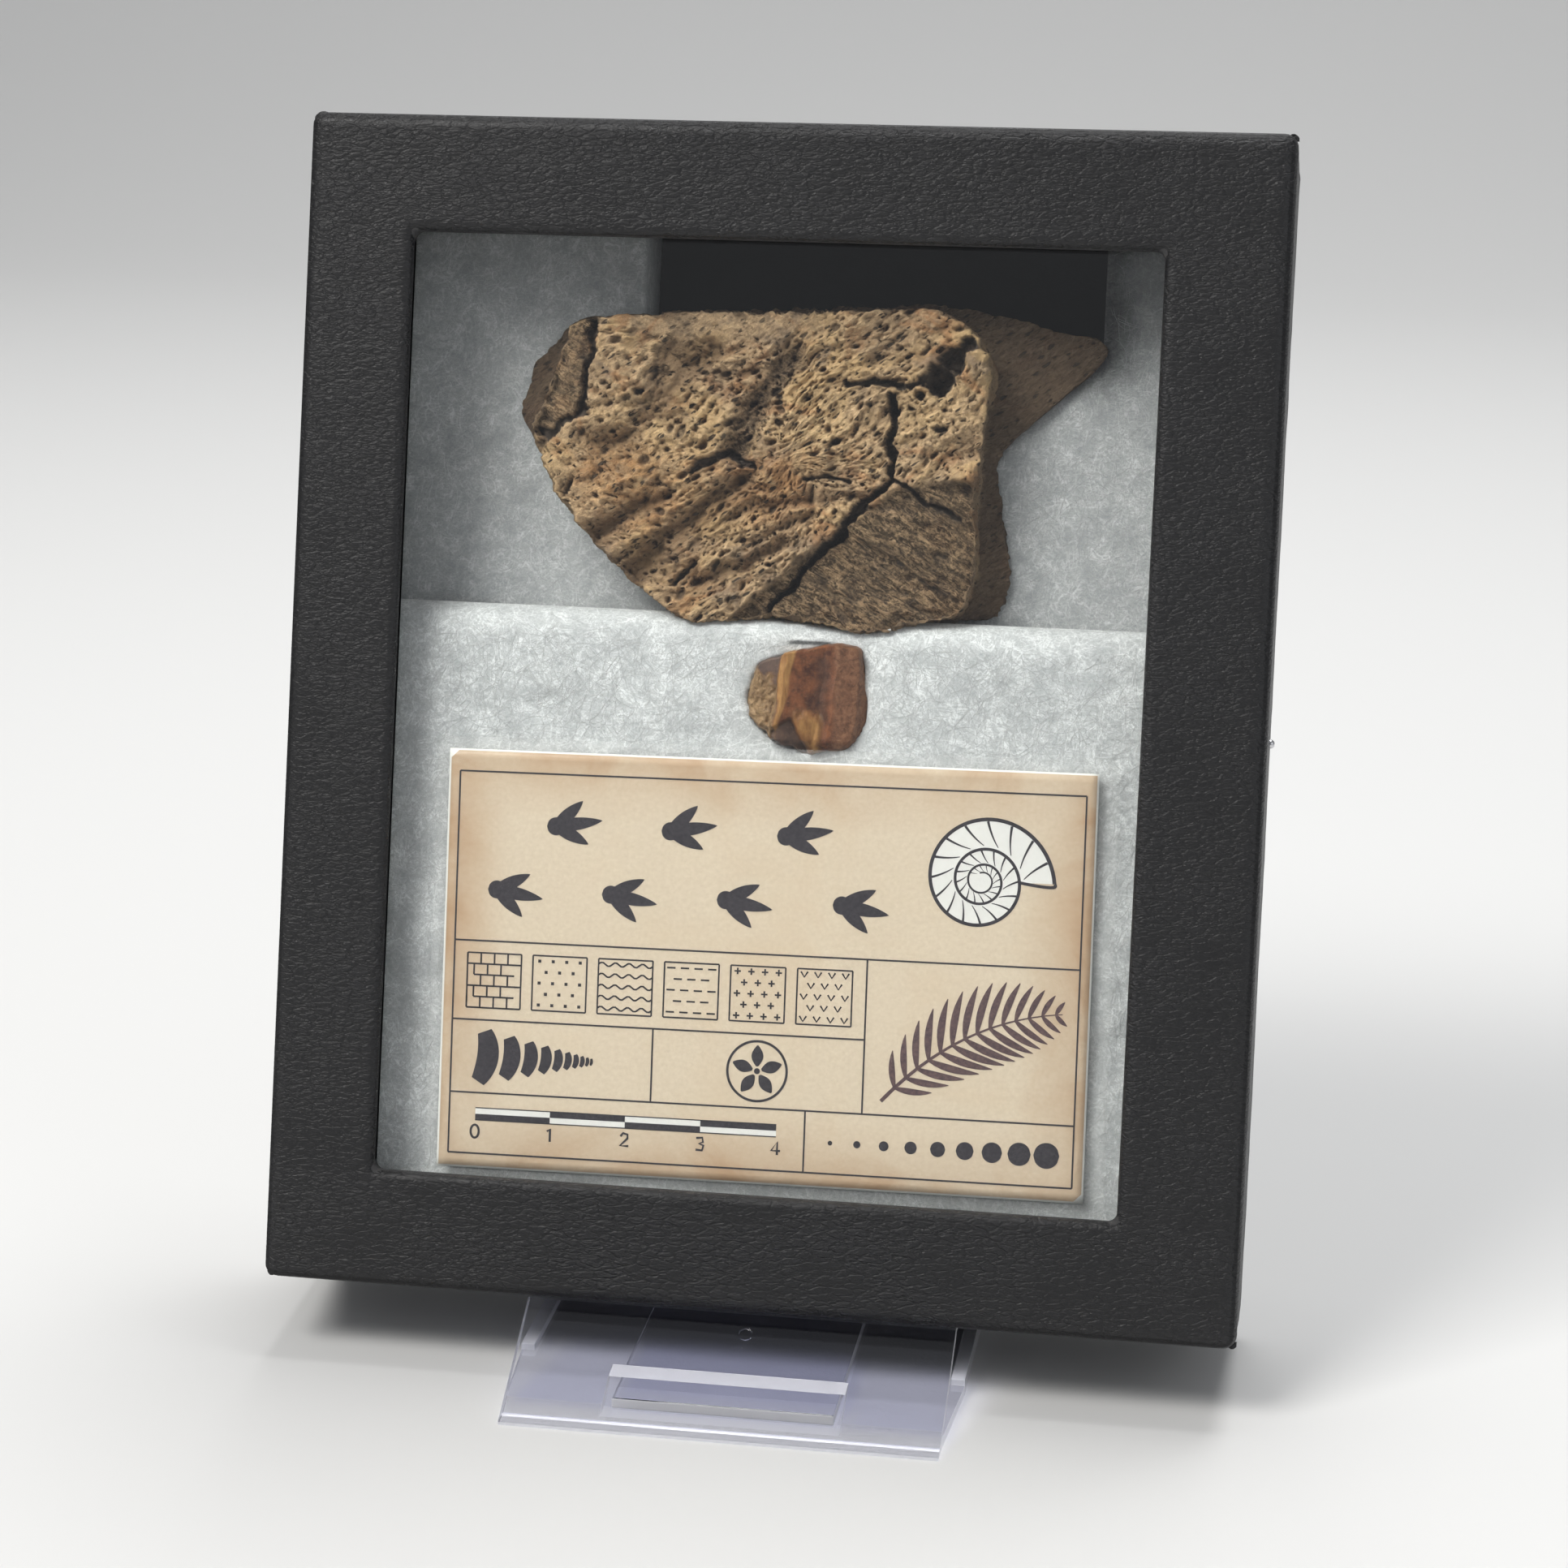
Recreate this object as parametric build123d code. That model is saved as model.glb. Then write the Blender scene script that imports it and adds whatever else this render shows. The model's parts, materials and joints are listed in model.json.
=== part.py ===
"""A pinned display box for a fossil.

A glazed paperboard lid telescopes over a padded tray that holds a bone fragment, a tooth and a card.
Two side pins hold the lid, and the closed box leans back on a clear two-piece stand.
Lengths are in millimetres and angles in degrees.
"""
import os
from math import cos, radians, sin, tan

from build123d import *

# Lid: a board shell in a thin grained covering
lid_width = 127.0
lid_height = 152.4
box_depth = 28.6
lid_cover_thickness = 0.4
lid_board_thickness = 1.6
skirt_gap = 0.6
lid_corner_radius = 1.8
lid_edge_radius = 1.5
window_width = 96.0
window_height = 121.4
window_shift = -0.7
window_corner_radius = 0.8
window_edge_radius = 1.2

# Glazing: a pane held by four glued card strips
glass_thickness = 2.0
glass_play = 0.3
strip_width = 3.0
strip_thickness = 1.2

# Tray: a board shell in black paper
tray_cover_thickness = 0.3
tray_board_thickness = 1.6
tray_play = 0.5
rim_gap = 0.2
tray_corner_radius = 1.0

# Pins: domed heads on short pointed shanks
pin_radius = 0.3
pin_head_radius = 0.6
pin_head_height = 0.7
pin_point_length = 0.5
pin_bite = 0.8
pin_play = 0.1
pin_height = 14.0
pin_slot_lift = 3.0

# Batting: two crowned pads, the front one only in the lower part
batting_play = 0.5
back_pad_thickness = 10.6
pad_gap = 0.3
pad_crown = 0.8
pad_edge_radius = 4.0
step_gap = 3.05
pocket_left = -21.5
pocket_right = 46.0
pocket_lap = 5.55

# Bone fragment: outlines run clockwise from the upper left corner
bone_width = 78.8
bone_height = 44.5
bone_centre_x = 0.7
bone_glass_gap = 2.1
bone_floor_gap = 1.6
nest_gap = 0.3
bone_face_shares = (
    (-0.39, 0.41), (-0.18, 0.44), (0.02, 0.45), (0.23, 0.47), (0.29, 0.41), (0.32, 0.29),
    (0.31, 0.14), (0.31, -0.10), (0.31, -0.30), (0.29, -0.43), (0.15, -0.50), (-0.02, -0.46),
    (-0.17, -0.49), (-0.29, -0.34), (-0.40, -0.14), (-0.45, 0.08), (-0.40, 0.29),
)
bone_rear_shares = (
    (-0.41, 0.42), (-0.20, 0.46), (0.01, 0.48), (0.22, 0.50), (0.35, 0.47), (0.50, 0.36),
    (0.42, 0.24), (0.33, 0.06), (0.37, -0.28), (0.36, -0.42), (0.14, -0.50), (-0.04, -0.48),
    (-0.19, -0.47), (-0.30, -0.32), (-0.41, -0.11), (-0.50, 0.16), (-0.47, 0.30),
)
# Level up the bone's depth, blend from rear outline to face outline, and size of the outline
bone_section_shares = (
    (0.0, 0.0, 0.72), (0.22, 0.0, 0.97), (0.5, 0.1, 1.0), (0.78, 0.9, 1.0), (1.0, 1.0, 0.88),
)

# Tooth: a worn crown with a long ridge
tooth_width = 16.5
tooth_height = 15.1
tooth_depth = 8.5
tooth_centre_x = 4.0
tooth_glass_gap = 1.0
tooth_outline_shares = (
    (-0.40, 0.31), (-0.14, 0.41), (0.22, 0.50), (0.43, 0.48), (0.50, -0.04), (0.49, -0.25),
    (0.36, -0.43), (0.02, -0.50), (-0.23, -0.40), (-0.46, -0.20), (-0.50, 0.00), (-0.45, 0.18),
)
# Level up the tooth's depth, and width and height of the outline there
tooth_section_shares = ((0.0, 0.80, 0.84), (0.35, 1.0, 1.0), (0.75, 0.84, 0.96), (1.0, 0.30, 0.80))

# Label card, a little turned on the batting
card_width = 85.0
card_height = 55.0
card_thickness = 0.4
card_corner_radius = 0.6
card_centre_x = 0.3
card_turn = 0.63
card_glass_gap = 2.2

# Shares of the tray's free height that lie below the card, the tooth and the bone
card_foot_share = 0.4
tooth_foot_share = 0.0224
bone_foot_share = 0.0172

# Stand: a base plate folded back into an apron, and a backrest whose tongue hooks through it
lean = 15.0
seat_gap = 0.3
stand_plate = 1.4
apron_width = 56.0
apron_angle = 28.0
apron_nose = 0.45
front_reach = 15.4
base_width = 58.4
base_length = 75.0
base_flare = 18.0
base_corner_radius = 4.0
rail_width = 1.8
rail_height = 0.9
slot_width = 30.5
slot_height = 2.9
gate_radius = 0.9
gate_sink = 0.3
gate_offset = 1.2
gate_place_share = 0.84
tongue_width = 28.5
tongue_tip = 4.2
slide_gap = 0.05
backrest_width = 46.0
backrest_top_width = 38.0
backrest_height = 76.0
backrest_corner_radius = 6.0
foot_length = 24.0
gusset_height = 34.0
gusset_spacing = 18.0

# How far a cutting shape runs past what it cuts
overrun = 10.0

# Levels up from the tray's back, and the plan sizes that nest in each other
panel = lid_cover_thickness + lid_board_thickness
panel_back = box_depth - panel
glass_back = panel_back - glass_thickness
tray_rim = glass_back - strip_thickness - rim_gap
tray_wall = tray_cover_thickness + tray_board_thickness
lid_inner_width = lid_width - 2 * panel
lid_inner_height = lid_height - 2 * panel
tray_width = lid_inner_width - 2 * tray_play
tray_height = lid_inner_height - 2 * tray_play
tray_inner_width = tray_width - 2 * tray_wall
tray_inner_height = tray_height - 2 * tray_wall
pad_width = tray_inner_width - 2 * batting_play
pad_height = tray_inner_height - 2 * batting_play
pad_floor = tray_wall
back_pad_top = pad_floor + back_pad_thickness
card_back = glass_back - card_glass_gap - card_thickness
front_pad_top = card_back - pad_gap

# Heights up the tray of what lies in it, from its middle
free_height = tray_inner_height - card_height - tooth_height - bone_height
card_foot = card_foot_share * free_height - tray_inner_height / 2
tooth_foot = card_foot + card_height + tooth_foot_share * free_height
bone_foot = tooth_foot + tooth_height + bone_foot_share * free_height
pad_step = tooth_foot + tooth_height + step_gap
pocket_foot = bone_foot + bone_height - pocket_lap

# Places of the leaning box on the stand, which starts at the base plate's front edge
lean_sin = sin(radians(lean))
lean_cos = cos(radians(lean))
tongue_low = stand_plate + slide_gap
tongue_top = tongue_low + stand_plate
box_y = front_reach + lid_height / 2 * lean_sin + box_depth * lean_cos
box_z = tongue_top + seat_gap + lid_height / 2 * lean_cos - skirt_gap * lean_sin
box_place = Pos(0, box_y, box_z) * Rot(90 - lean, 0, 0)


def side_point(up, out):
    """Side view place of a point that lies up the box's height and out from its back."""
    return box_y + up * lean_sin - out * lean_cos, box_z + up * lean_cos + out * lean_sin


def slab(width, height, low, high, corner=0):
    """Upright block on a rectangle, with rounded corners where a radius is given."""
    outline = RectangleRounded(width, height, corner) if corner else Rectangle(width, height)
    return Pos(0, 0, low) * extrude(outline, high - low)


def side_profile(points, width):
    """Solid of a side view outline, as wide to the left as to the right."""
    return extrude(Plane.YZ * make_face(Polyline(*points, close=True)), width / 2, both=True)


def lid_form(inset):
    """The lid filled solid behind its window, drawn in from every outer face by the inset."""
    body = slab(lid_width - 2 * inset, lid_height - 2 * inset, skirt_gap, box_depth - inset,
                lid_corner_radius - inset)
    body = fillet(body.faces().sort_by(Axis.Z)[-1].edges(), lid_edge_radius - inset)
    body -= Pos(window_shift, 0, 0) * slab(window_width + 2 * inset, window_height + 2 * inset, 0,
                                           box_depth, window_corner_radius + inset)
    window_edges = body.faces().sort_by(Axis.Z)[-1].inner_wires()[0].edges()
    return fillet(window_edges, window_edge_radius - inset)


def lid_hollow():
    """What the lid's shell is open to: the tray's room and the two pin holes."""
    room = slab(lid_inner_width, lid_inner_height, 0, panel_back)
    hole = Pos(0, 0, pin_height) * Rot(0, 90, 0) * Cylinder(pin_radius + pin_play, lid_width + overrun)
    return room + hole


def tray_form(inset):
    """The tray filled solid, drawn in from its outer faces by the inset."""
    return slab(tray_width - 2 * inset, tray_height - 2 * inset, inset, tray_rim,
                tray_corner_radius - inset)


def tray_hollow():
    """The tray's inside with its two pin slots, long enough for the lid to rise as the pins draw out."""
    room = slab(tray_inner_width, tray_inner_height, tray_wall, tray_rim)
    slot_middle = pin_height + pin_slot_lift / 2
    outline = SlotCenterToCenter(pin_slot_lift, 2 * (pin_radius + pin_play), rotation=90)
    return room + extrude(Plane.YZ * (Pos(0, slot_middle) * outline), lid_width / 2, both=True)


def glass_strips():
    """The card strips glued behind the pane's border."""
    side_height = lid_inner_height - 2 * strip_width
    along = slab(lid_inner_width, strip_width, glass_back - strip_thickness, glass_back)
    upright = slab(strip_width, side_height, glass_back - strip_thickness, glass_back)
    to_end = (lid_inner_height - strip_width) / 2
    to_side = (lid_inner_width - strip_width) / 2
    return {
        "glass_strip_top": Pos(0, to_end, 0) * along,
        "glass_strip_bottom": Pos(0, -to_end, 0) * along,
        "glass_strip_left": Pos(-to_side, 0, 0) * upright,
        "glass_strip_right": Pos(to_side, 0, 0) * upright,
    }


def pin():
    """Pin along +Z with its domed head seated at zero and its point in the tray's wall."""
    reach = panel + tray_play + pin_bite
    shank_length = reach - pin_point_length
    shank = Pos(0, 0, -shank_length / 2) * Cylinder(pin_radius, shank_length)
    point = Pos(0, 0, pin_point_length / 2 - reach) * Cone(0, pin_radius, pin_point_length)
    dome_radius = (pin_head_radius ** 2 + pin_head_height ** 2) / (2 * pin_head_height)
    dome = Pos(0, 0, pin_head_height - dome_radius) * Sphere(dome_radius)
    seat = slab(4 * dome_radius, 4 * dome_radius, 0, pin_head_height)
    return shank + point + (dome & seat)


def crowned(low, high, foot, head):
    """Pad between two heights of the tray, its front swelling between its ends by the crown."""
    length = head - foot
    radius = (length ** 2 / 4 + pad_crown ** 2) / (2 * pad_crown)
    middle = (head + foot) / 2
    block = Pos(0, middle, 0) * slab(pad_width, length, low, high)
    return block & Pos(0, middle, high - radius) * Rot(0, 90, 0) * Cylinder(radius, lid_width)


def stacked(sections, shares_at, width, height, centre, low, depth):
    """Solid through level outlines, given as shares of the piece's width, height and depth."""
    faces = []
    for level, outline in zip(sections, shares_at):
        points = [(centre[0] + width * x, centre[1] + height * y) for x, y in outline]
        faces.append(Pos(0, 0, low + depth * level) * make_face(Polyline(*points, close=True)))
    return loft(faces, ruled=True)


def bone_form(margin):
    """The bone, a stack of broken outlines that change from its wide rear to its cut face."""
    outlines = []
    for _, blend, size in bone_section_shares:
        outlines.append([
            (size * (rear_x + blend * (face_x - rear_x)), size * (rear_y + blend * (face_y - rear_y)))
            for (rear_x, rear_y), (face_x, face_y) in zip(bone_rear_shares, bone_face_shares)
        ])
    low = pad_floor + bone_floor_gap - margin
    return stacked([row[0] for row in bone_section_shares], outlines, bone_width + 2 * margin,
                   bone_height + 2 * margin, (bone_centre_x, bone_foot + bone_height / 2), low,
                   glass_back - bone_glass_gap + margin - low)


def tooth_form(margin):
    """The tooth, a worn crown that narrows to a ridge along its height."""
    outlines = [[(wide * x, tall * y) for x, y in tooth_outline_shares]
                for _, wide, tall in tooth_section_shares]
    return stacked([row[0] for row in tooth_section_shares], outlines, tooth_width + 2 * margin,
                   tooth_height + 2 * margin, (tooth_centre_x, tooth_foot + tooth_height / 2),
                   glass_back - tooth_glass_gap - tooth_depth - margin, tooth_depth + 2 * margin)


def batting_pads():
    """The two pads, with the bone's pocket and the hollows that bone and tooth press into them."""
    pressed = bone_form(nest_gap) + tooth_form(nest_gap)
    back = crowned(pad_floor, back_pad_top, -pad_height / 2, pad_height / 2)
    pocket_top = lid_height / 2
    pocket = Pos((pocket_left + pocket_right) / 2, (pocket_foot + pocket_top) / 2, 0) * slab(
        pocket_right - pocket_left, pocket_top - pocket_foot, 0, box_depth)
    front = crowned(back_pad_top + pad_gap, front_pad_top, -pad_height / 2, pad_step)
    step_edge = front.faces().sort_by(Axis.Y)[-1].edges().sort_by(Axis.Z)[-1]
    front = fillet(step_edge, pad_edge_radius)
    return {"batting_back": back - pocket - pressed, "batting_front": front - pressed}


def label_card():
    """The card, lying on the front pad under the glass."""
    flat = slab(card_width, card_height, card_back, card_back + card_thickness, card_corner_radius)
    return Pos(card_centre_x, card_foot + card_height / 2, 0) * Rot(0, 0, card_turn) * flat


def apron_profile():
    """Side view of the apron, which ends under the box's lower front edge, parallel to its underside."""
    along = Vector(cos(radians(apron_angle)), sin(radians(apron_angle)))
    inward = Vector(sin(radians(apron_angle)), -cos(radians(apron_angle))) * stand_plate
    nose = Vector(0, apron_nose)
    seat = Vector(*side_point(-lid_height / 2 - seat_gap, box_depth))
    under = Vector(lean_cos, -lean_sin)
    climb = along.cross(under).Z
    top_outer = nose + along * ((seat - nose).cross(under).Z / climb)
    top_inner = nose + inward + along * ((seat - nose - inward).cross(under).Z / climb)
    root = nose + inward - along * ((nose + inward).Y / along.Y)
    points = [(0, 0), nose, top_outer, top_inner, root]
    gate = nose + (top_outer - nose) * gate_place_share
    return points, gate


def stand_front():
    """Base plate with raised side rails, folded back at the front into the slotted apron."""
    points, gate = apron_profile()
    start = stand_plate / tan(radians(apron_angle))
    half_front = apron_width / 2
    half_rear = base_width / 2
    outline = Polyline((-half_front, start), (half_front, start), (half_rear, base_flare),
                       (half_rear, base_length), (-half_rear, base_length), (-half_rear, base_flare),
                       close=True)
    plate = extrude(make_face(outline), stand_plate)
    plate = fillet(plate.edges().filter_by(Axis.Z).group_by(Axis.Y)[-1], base_corner_radius)
    rail_length = base_length - base_flare - base_corner_radius
    rail = Pos(0, base_flare + rail_length / 2, 0) * slab(rail_width, rail_length, 0,
                                                          stand_plate + rail_height)
    to_rail = half_rear - rail_width / 2
    body = plate + side_profile([tuple(point)[:2] for point in points], apron_width)
    body += Pos(-to_rail, 0, 0) * rail
    body += Pos(to_rail, 0, 0) * rail
    slot_run = (stand_plate + slot_height) / tan(radians(apron_angle)) + overrun
    body -= Pos(0, slot_run / 2, 0) * slab(slot_width, slot_run, stand_plate, stand_plate + slot_height)
    drill = Cylinder(gate_radius, 2 * gate_sink)
    return body - Pos(gate_offset, gate.X, gate.Y) * Rot(apron_angle, 0, 0) * drill


def stand_back():
    """Backrest on a foot that runs forward as the tongue, braced from behind by two gussets."""
    rest_foot = -lid_height / 2 - overrun
    rest_head = -lid_height / 2 + backrest_height
    half_foot = backrest_width / 2
    half_head = backrest_top_width / 2
    outline = Polyline((-half_foot, rest_foot), (half_foot, rest_foot), (half_foot, -lid_height / 2),
                       (half_head, rest_head), (-half_head, rest_head), (-half_foot, -lid_height / 2),
                       close=True)
    plate = Pos(0, 0, -seat_gap - stand_plate) * extrude(make_face(outline), stand_plate)
    plate = fillet(plate.edges().filter_by(Axis.Z).group_by(Axis.Y)[-1], backrest_corner_radius)
    plate = box_place * plate
    middle = -seat_gap - stand_plate / 2
    heel_y = side_point(-lid_height / 2, middle)[0]
    foot_end = heel_y + foot_length
    foot_middle = (tongue_low + tongue_top) / 2
    tongue_length = foot_end - tongue_tip
    tongue = Pos(0, tongue_tip + tongue_length / 2, 0) * slab(tongue_width, tongue_length, tongue_low,
                                                              tongue_top)
    gusset = side_profile([
        (heel_y, foot_middle),
        (foot_end - stand_plate, foot_middle),
        side_point(-lid_height / 2 + gusset_height, middle),
        side_point(-lid_height / 2, middle),
    ], stand_plate)
    body = plate + tongue
    body += Pos(-gusset_spacing / 2, 0, 0) * gusset
    body += Pos(gusset_spacing / 2, 0, 0) * gusset
    below = Pos(0, box_y, 0) * slab(lid_width, lid_height, -lid_height, tongue_low)
    return body - below


def box_nodes():
    """Every piece of the box, lying on its back with its front up."""
    filled_lid = lid_form(0)
    lid_core = lid_form(lid_cover_thickness)
    hollow = lid_hollow()
    tray_core = tray_form(tray_cover_thickness)
    tray_room = tray_hollow()
    glass = slab(lid_inner_width - 2 * glass_play, lid_inner_height - 2 * glass_play, glass_back, panel_back)
    nodes = {
        "lid_board": lid_core - hollow,
        "lid_cover": filled_lid - lid_core - hollow,
        "glass_pane": glass,
        "tray_board": tray_core - tray_room,
        "tray_cover": tray_form(0) - tray_core - tray_room,
        "bone_fragment": bone_form(0),
        "tooth": tooth_form(0),
        "label_card": label_card(),
        "pin_left": Pos(-lid_width / 2, 0, pin_height) * Rot(0, -90, 0) * pin(),
        "pin_right": Pos(lid_width / 2, 0, pin_height) * Rot(0, 90, 0) * pin(),
    }
    nodes.update(glass_strips())
    nodes.update(batting_pads())
    return nodes


def main():
    nodes = {name: box_place * shape for name, shape in box_nodes().items()}
    nodes["stand_front"] = stand_front()
    nodes["stand_back"] = stand_back()
    reach = Compound(list(nodes.values())).bounding_box()
    centre = reach.center()
    to_origin = Pos(-centre.X, -centre.Y, -reach.min.Z)
    os.makedirs("parts", exist_ok=True)
    for name, shape in nodes.items():
        export_step(to_origin * shape, f"parts/{name}.step")
    print(f"{len(nodes)} pieces, {reach.size.X:.1f} x {reach.size.Y:.1f} x {reach.size.Z:.1f} mm")
    print(f"centre of the box's back at y {box_y - centre.Y:.3f}, z {box_z - reach.min.Z:.3f} mm")


main()
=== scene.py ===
# %% [markdown]
# # A pinned fossil display box, dressed for the camera
#
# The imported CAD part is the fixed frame. Boards, glass, strips and pins keep their CAD shape and get
# a finish. The grained covering, the batting, the bone, the tooth, the card and the clear stand are
# drawn again here, each as a surface over two numbers, and ride on the body they belong to. Hand
# modelling could give the same look, but a formula can be read, changed and run again.

# %% Load the frame
import json

import bmesh
import bpy
import numpy as np
from mathutils import Matrix, Vector


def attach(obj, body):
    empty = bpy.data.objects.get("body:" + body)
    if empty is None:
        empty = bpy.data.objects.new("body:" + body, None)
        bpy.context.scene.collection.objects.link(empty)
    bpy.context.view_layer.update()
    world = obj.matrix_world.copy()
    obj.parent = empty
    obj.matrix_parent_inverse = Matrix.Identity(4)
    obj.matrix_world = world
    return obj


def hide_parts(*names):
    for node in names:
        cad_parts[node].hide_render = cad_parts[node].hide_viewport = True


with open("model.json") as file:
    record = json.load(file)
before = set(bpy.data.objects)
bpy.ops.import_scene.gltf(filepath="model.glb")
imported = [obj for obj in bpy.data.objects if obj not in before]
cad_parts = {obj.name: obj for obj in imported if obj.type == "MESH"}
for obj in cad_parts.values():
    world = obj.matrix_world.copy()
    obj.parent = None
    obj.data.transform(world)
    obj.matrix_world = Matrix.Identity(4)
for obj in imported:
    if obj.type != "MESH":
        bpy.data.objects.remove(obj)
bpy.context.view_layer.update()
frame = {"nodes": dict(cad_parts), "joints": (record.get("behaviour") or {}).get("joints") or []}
nodes = frame["nodes"]

# %% [markdown]
# The box leans back on its stand, so its pieces are drawn in its own directions and in millimetres: x
# across, y up the box and z out from the tray's back. Leaning coordinates in every formula would be hard
# to read, so points are turned into the row's frame once, when a mesh is made. The lid's joint gives the
# direction out of the box, and the tray's covering gives the middle of the back.

# %% The box's own directions
MM = 1000.0
out = np.array(next(j["axis"] for j in frame["joints"] if j["name"] == "lid_lift"))
across = np.array([1.0, 0.0, 0.0])
axes = np.stack([across, np.cross(out, across), out])
tilt = float(np.arctan2(axes[1, 2], axes[1, 1]))


def row_points(name):
    """Corners of a CAD node's mesh in the row frame, in metres."""
    mesh = nodes[name].data
    flat = np.empty(3 * len(mesh.vertices), np.float32)
    mesh.vertices.foreach_get("co", flat)
    return flat.reshape(-1, 3).astype(float)


tray_spread = row_points("tray_cover") @ axes.T
tray_low, tray_high = tray_spread.min(0), tray_spread.max(0)
origin = np.array([*(tray_low + tray_high)[:2] / 2, tray_low[2]]) @ axes


def to_box(points):
    """Row frame metres as box millimetres."""
    return (points - origin) @ axes.T * MM


def to_row(points):
    """Box millimetres as row frame metres."""
    return points / MM @ axes + origin


def spans(name):
    """Lowest and highest x, y and z of a CAD node in the box's directions."""
    points = to_box(row_points(name))
    return points.min(0), points.max(0)


lid_low, lid_high = spans("lid_cover")
print(f"lid {lid_high[0] - lid_low[0]:.1f} x {lid_high[1] - lid_low[1]:.1f} mm, front at {lid_high[2]:.1f}")

# %% [markdown]
# Every new mesh is a lattice: rows and columns of points that a formula fills, with a quad between each
# four neighbours. bmesh could add faces one by one, but whole arrays are shorter and quicker. Random
# fields come from seeded tables, so each run gives the same shapes.

# %% Lattices and pieces


def lattice(rows, columns, wrap_rows=False, wrap_columns=False):
    """Quads between the points of a lattice, joined end to end where it wraps."""
    row, column = np.meshgrid(np.arange(rows if wrap_rows else rows - 1),
                              np.arange(columns if wrap_columns else columns - 1), indexing="ij")
    up, along = (row + 1) % rows, (column + 1) % columns
    corners = [row * columns + column, row * columns + along, up * columns + along, up * columns + column]
    return np.stack(corners, -1).reshape(-1, 4)


def add_piece(name, points, faces, body, slot, stands_for=(), **marks):
    """A smooth mesh of box points that rides on a body. Marks are numbers per point for its shader."""
    mesh = bpy.data.meshes.new(name)
    mesh.from_pydata(to_row(points.reshape(-1, 3)), [], faces)
    mesh.shade_smooth()
    for label, values in marks.items():
        field = mesh.attributes.new(label, "FLOAT", "POINT")
        field.data.foreach_set("value", np.ravel(values).astype(np.float32))
    piece = bpy.data.objects.new(name, mesh)
    bpy.context.scene.collection.objects.link(piece)
    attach(piece, body)
    if stands_for:
        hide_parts(*stands_for)
    return piece


print("lattices and pieces ready")

# %% Random fields
TABLE = 256


def noise(x, y, seed):
    """Random numbers from -1 to 1 on a unit lattice, blended by smooth steps between its corners."""
    table = np.random.default_rng(seed).uniform(-1, 1, (TABLE, TABLE))
    i, j = np.floor(x).astype(int), np.floor(y).astype(int)
    u, v = x - i, y - j
    u, v = u * u * (3 - 2 * u), v * v * (3 - 2 * v)
    i, j, i1, j1 = i % TABLE, j % TABLE, (i + 1) % TABLE, (j + 1) % TABLE
    return ((table[i, j] * (1 - u) + table[i1, j] * u) * (1 - v)
            + (table[i, j1] * (1 - u) + table[i1, j1] * u) * v)


def layered(x, y, seed, layers=4):
    """Noise at sizes that halve from layer to layer, each half as strong as the last."""
    return sum(noise(x * 2 ** k, y * 2 ** k, seed + k) / 2 ** k for k in range(layers))


def step(low, high, value):
    """0 below low, 1 above high, and a smooth S between them."""
    t = np.clip((value - low) / (high - low), 0, 1)
    return t * t * (3 - 2 * t)


print(f"random fields from tables of {TABLE} x {TABLE}")

# %% [markdown]
# A finish is a tree of shader nodes. It could be wired by hand in the editor, but then it can't be read
# or repeated here, so small helpers each add a node and hand back its socket. A value that is the same
# all over sits on the shader's own socket, and only what varies over a surface is linked. Texture places
# are in the box's directions, in millimetres.

# %% Nodes and materials


def add_node(tree, kind, inputs=None, **settings):
    """A shader node with its settings, its inputs given as plain values or as sockets to link."""
    made = tree.nodes.new("ShaderNode" + kind)
    for key, value in settings.items():
        setattr(made, key, value)
    for key, value in (inputs or {}).items():
        if isinstance(value, bpy.types.NodeSocket):
            tree.links.new(value, made.inputs[key])
        else:
            made.inputs[key].default_value = value
    return made


def new_material(name, plain):
    """A material and its Principled shader, with plain values on the sockets that don't vary."""
    made = bpy.data.materials.new(name)
    made.use_nodes = True
    shader = made.node_tree.nodes["Principled BSDF"]
    for key, value in plain.items():
        shader.inputs[key].default_value = value
    return made, made.node_tree, shader


def drive(shader, socket, value):
    """Link a value that varies over the surface to one of a shader's sockets."""
    shader.id_data.links.new(value, shader.inputs[socket])


def finish(piece, made):
    """The only material on a piece."""
    piece.data.materials.clear()
    piece.data.materials.append(made)


print("node and material helpers ready")

# %% Textures and arithmetic


def box_place(tree, stretch=(1, 1, 1)):
    """Place on a piece in the box's directions, in millimetres times the stretch along each."""
    place = add_node(tree, "TexCoord").outputs["Object"]
    upright = add_node(tree, "Mapping", {"Vector": place, "Rotation": (-tilt, 0, 0), "Scale": (MM,) * 3})
    return add_node(tree, "Mapping", {"Vector": upright.outputs[0], "Scale": stretch}).outputs[0]


def mottle(tree, place, scale, detail=4.0, roughness=0.55, distortion=0.0):
    """Noise from 0 to 1 at a place."""
    return add_node(tree, "TexNoise", {"Vector": place, "Scale": scale, "Detail": detail,
                                       "Roughness": roughness, "Distortion": distortion}).outputs["Fac"]


def mark(tree, name):
    """A number stored on the mesh's points."""
    return add_node(tree, "Attribute", attribute_name=name).outputs["Fac"]


def remap(tree, value, low, high, to_low=0.0, to_high=1.0):
    """A value's span from low to high stretched to another span, and held at its ends."""
    return add_node(tree, "MapRange", {"Value": value, "From Min": low, "From Max": high,
                                       "To Min": to_low, "To Max": to_high}).outputs["Result"]


def blend(tree, share, first, second):
    """Two colours mixed by a share."""
    made = add_node(tree, "Mix", data_type="RGBA")
    for socket, value in ((made.inputs[0], share), (made.inputs[6], first), (made.inputs[7], second)):
        if isinstance(value, bpy.types.NodeSocket):
            tree.links.new(value, socket)
        else:
            socket.default_value = (*value, 1) if isinstance(value, tuple) and len(value) == 3 else value
    return made.outputs[2]


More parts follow.
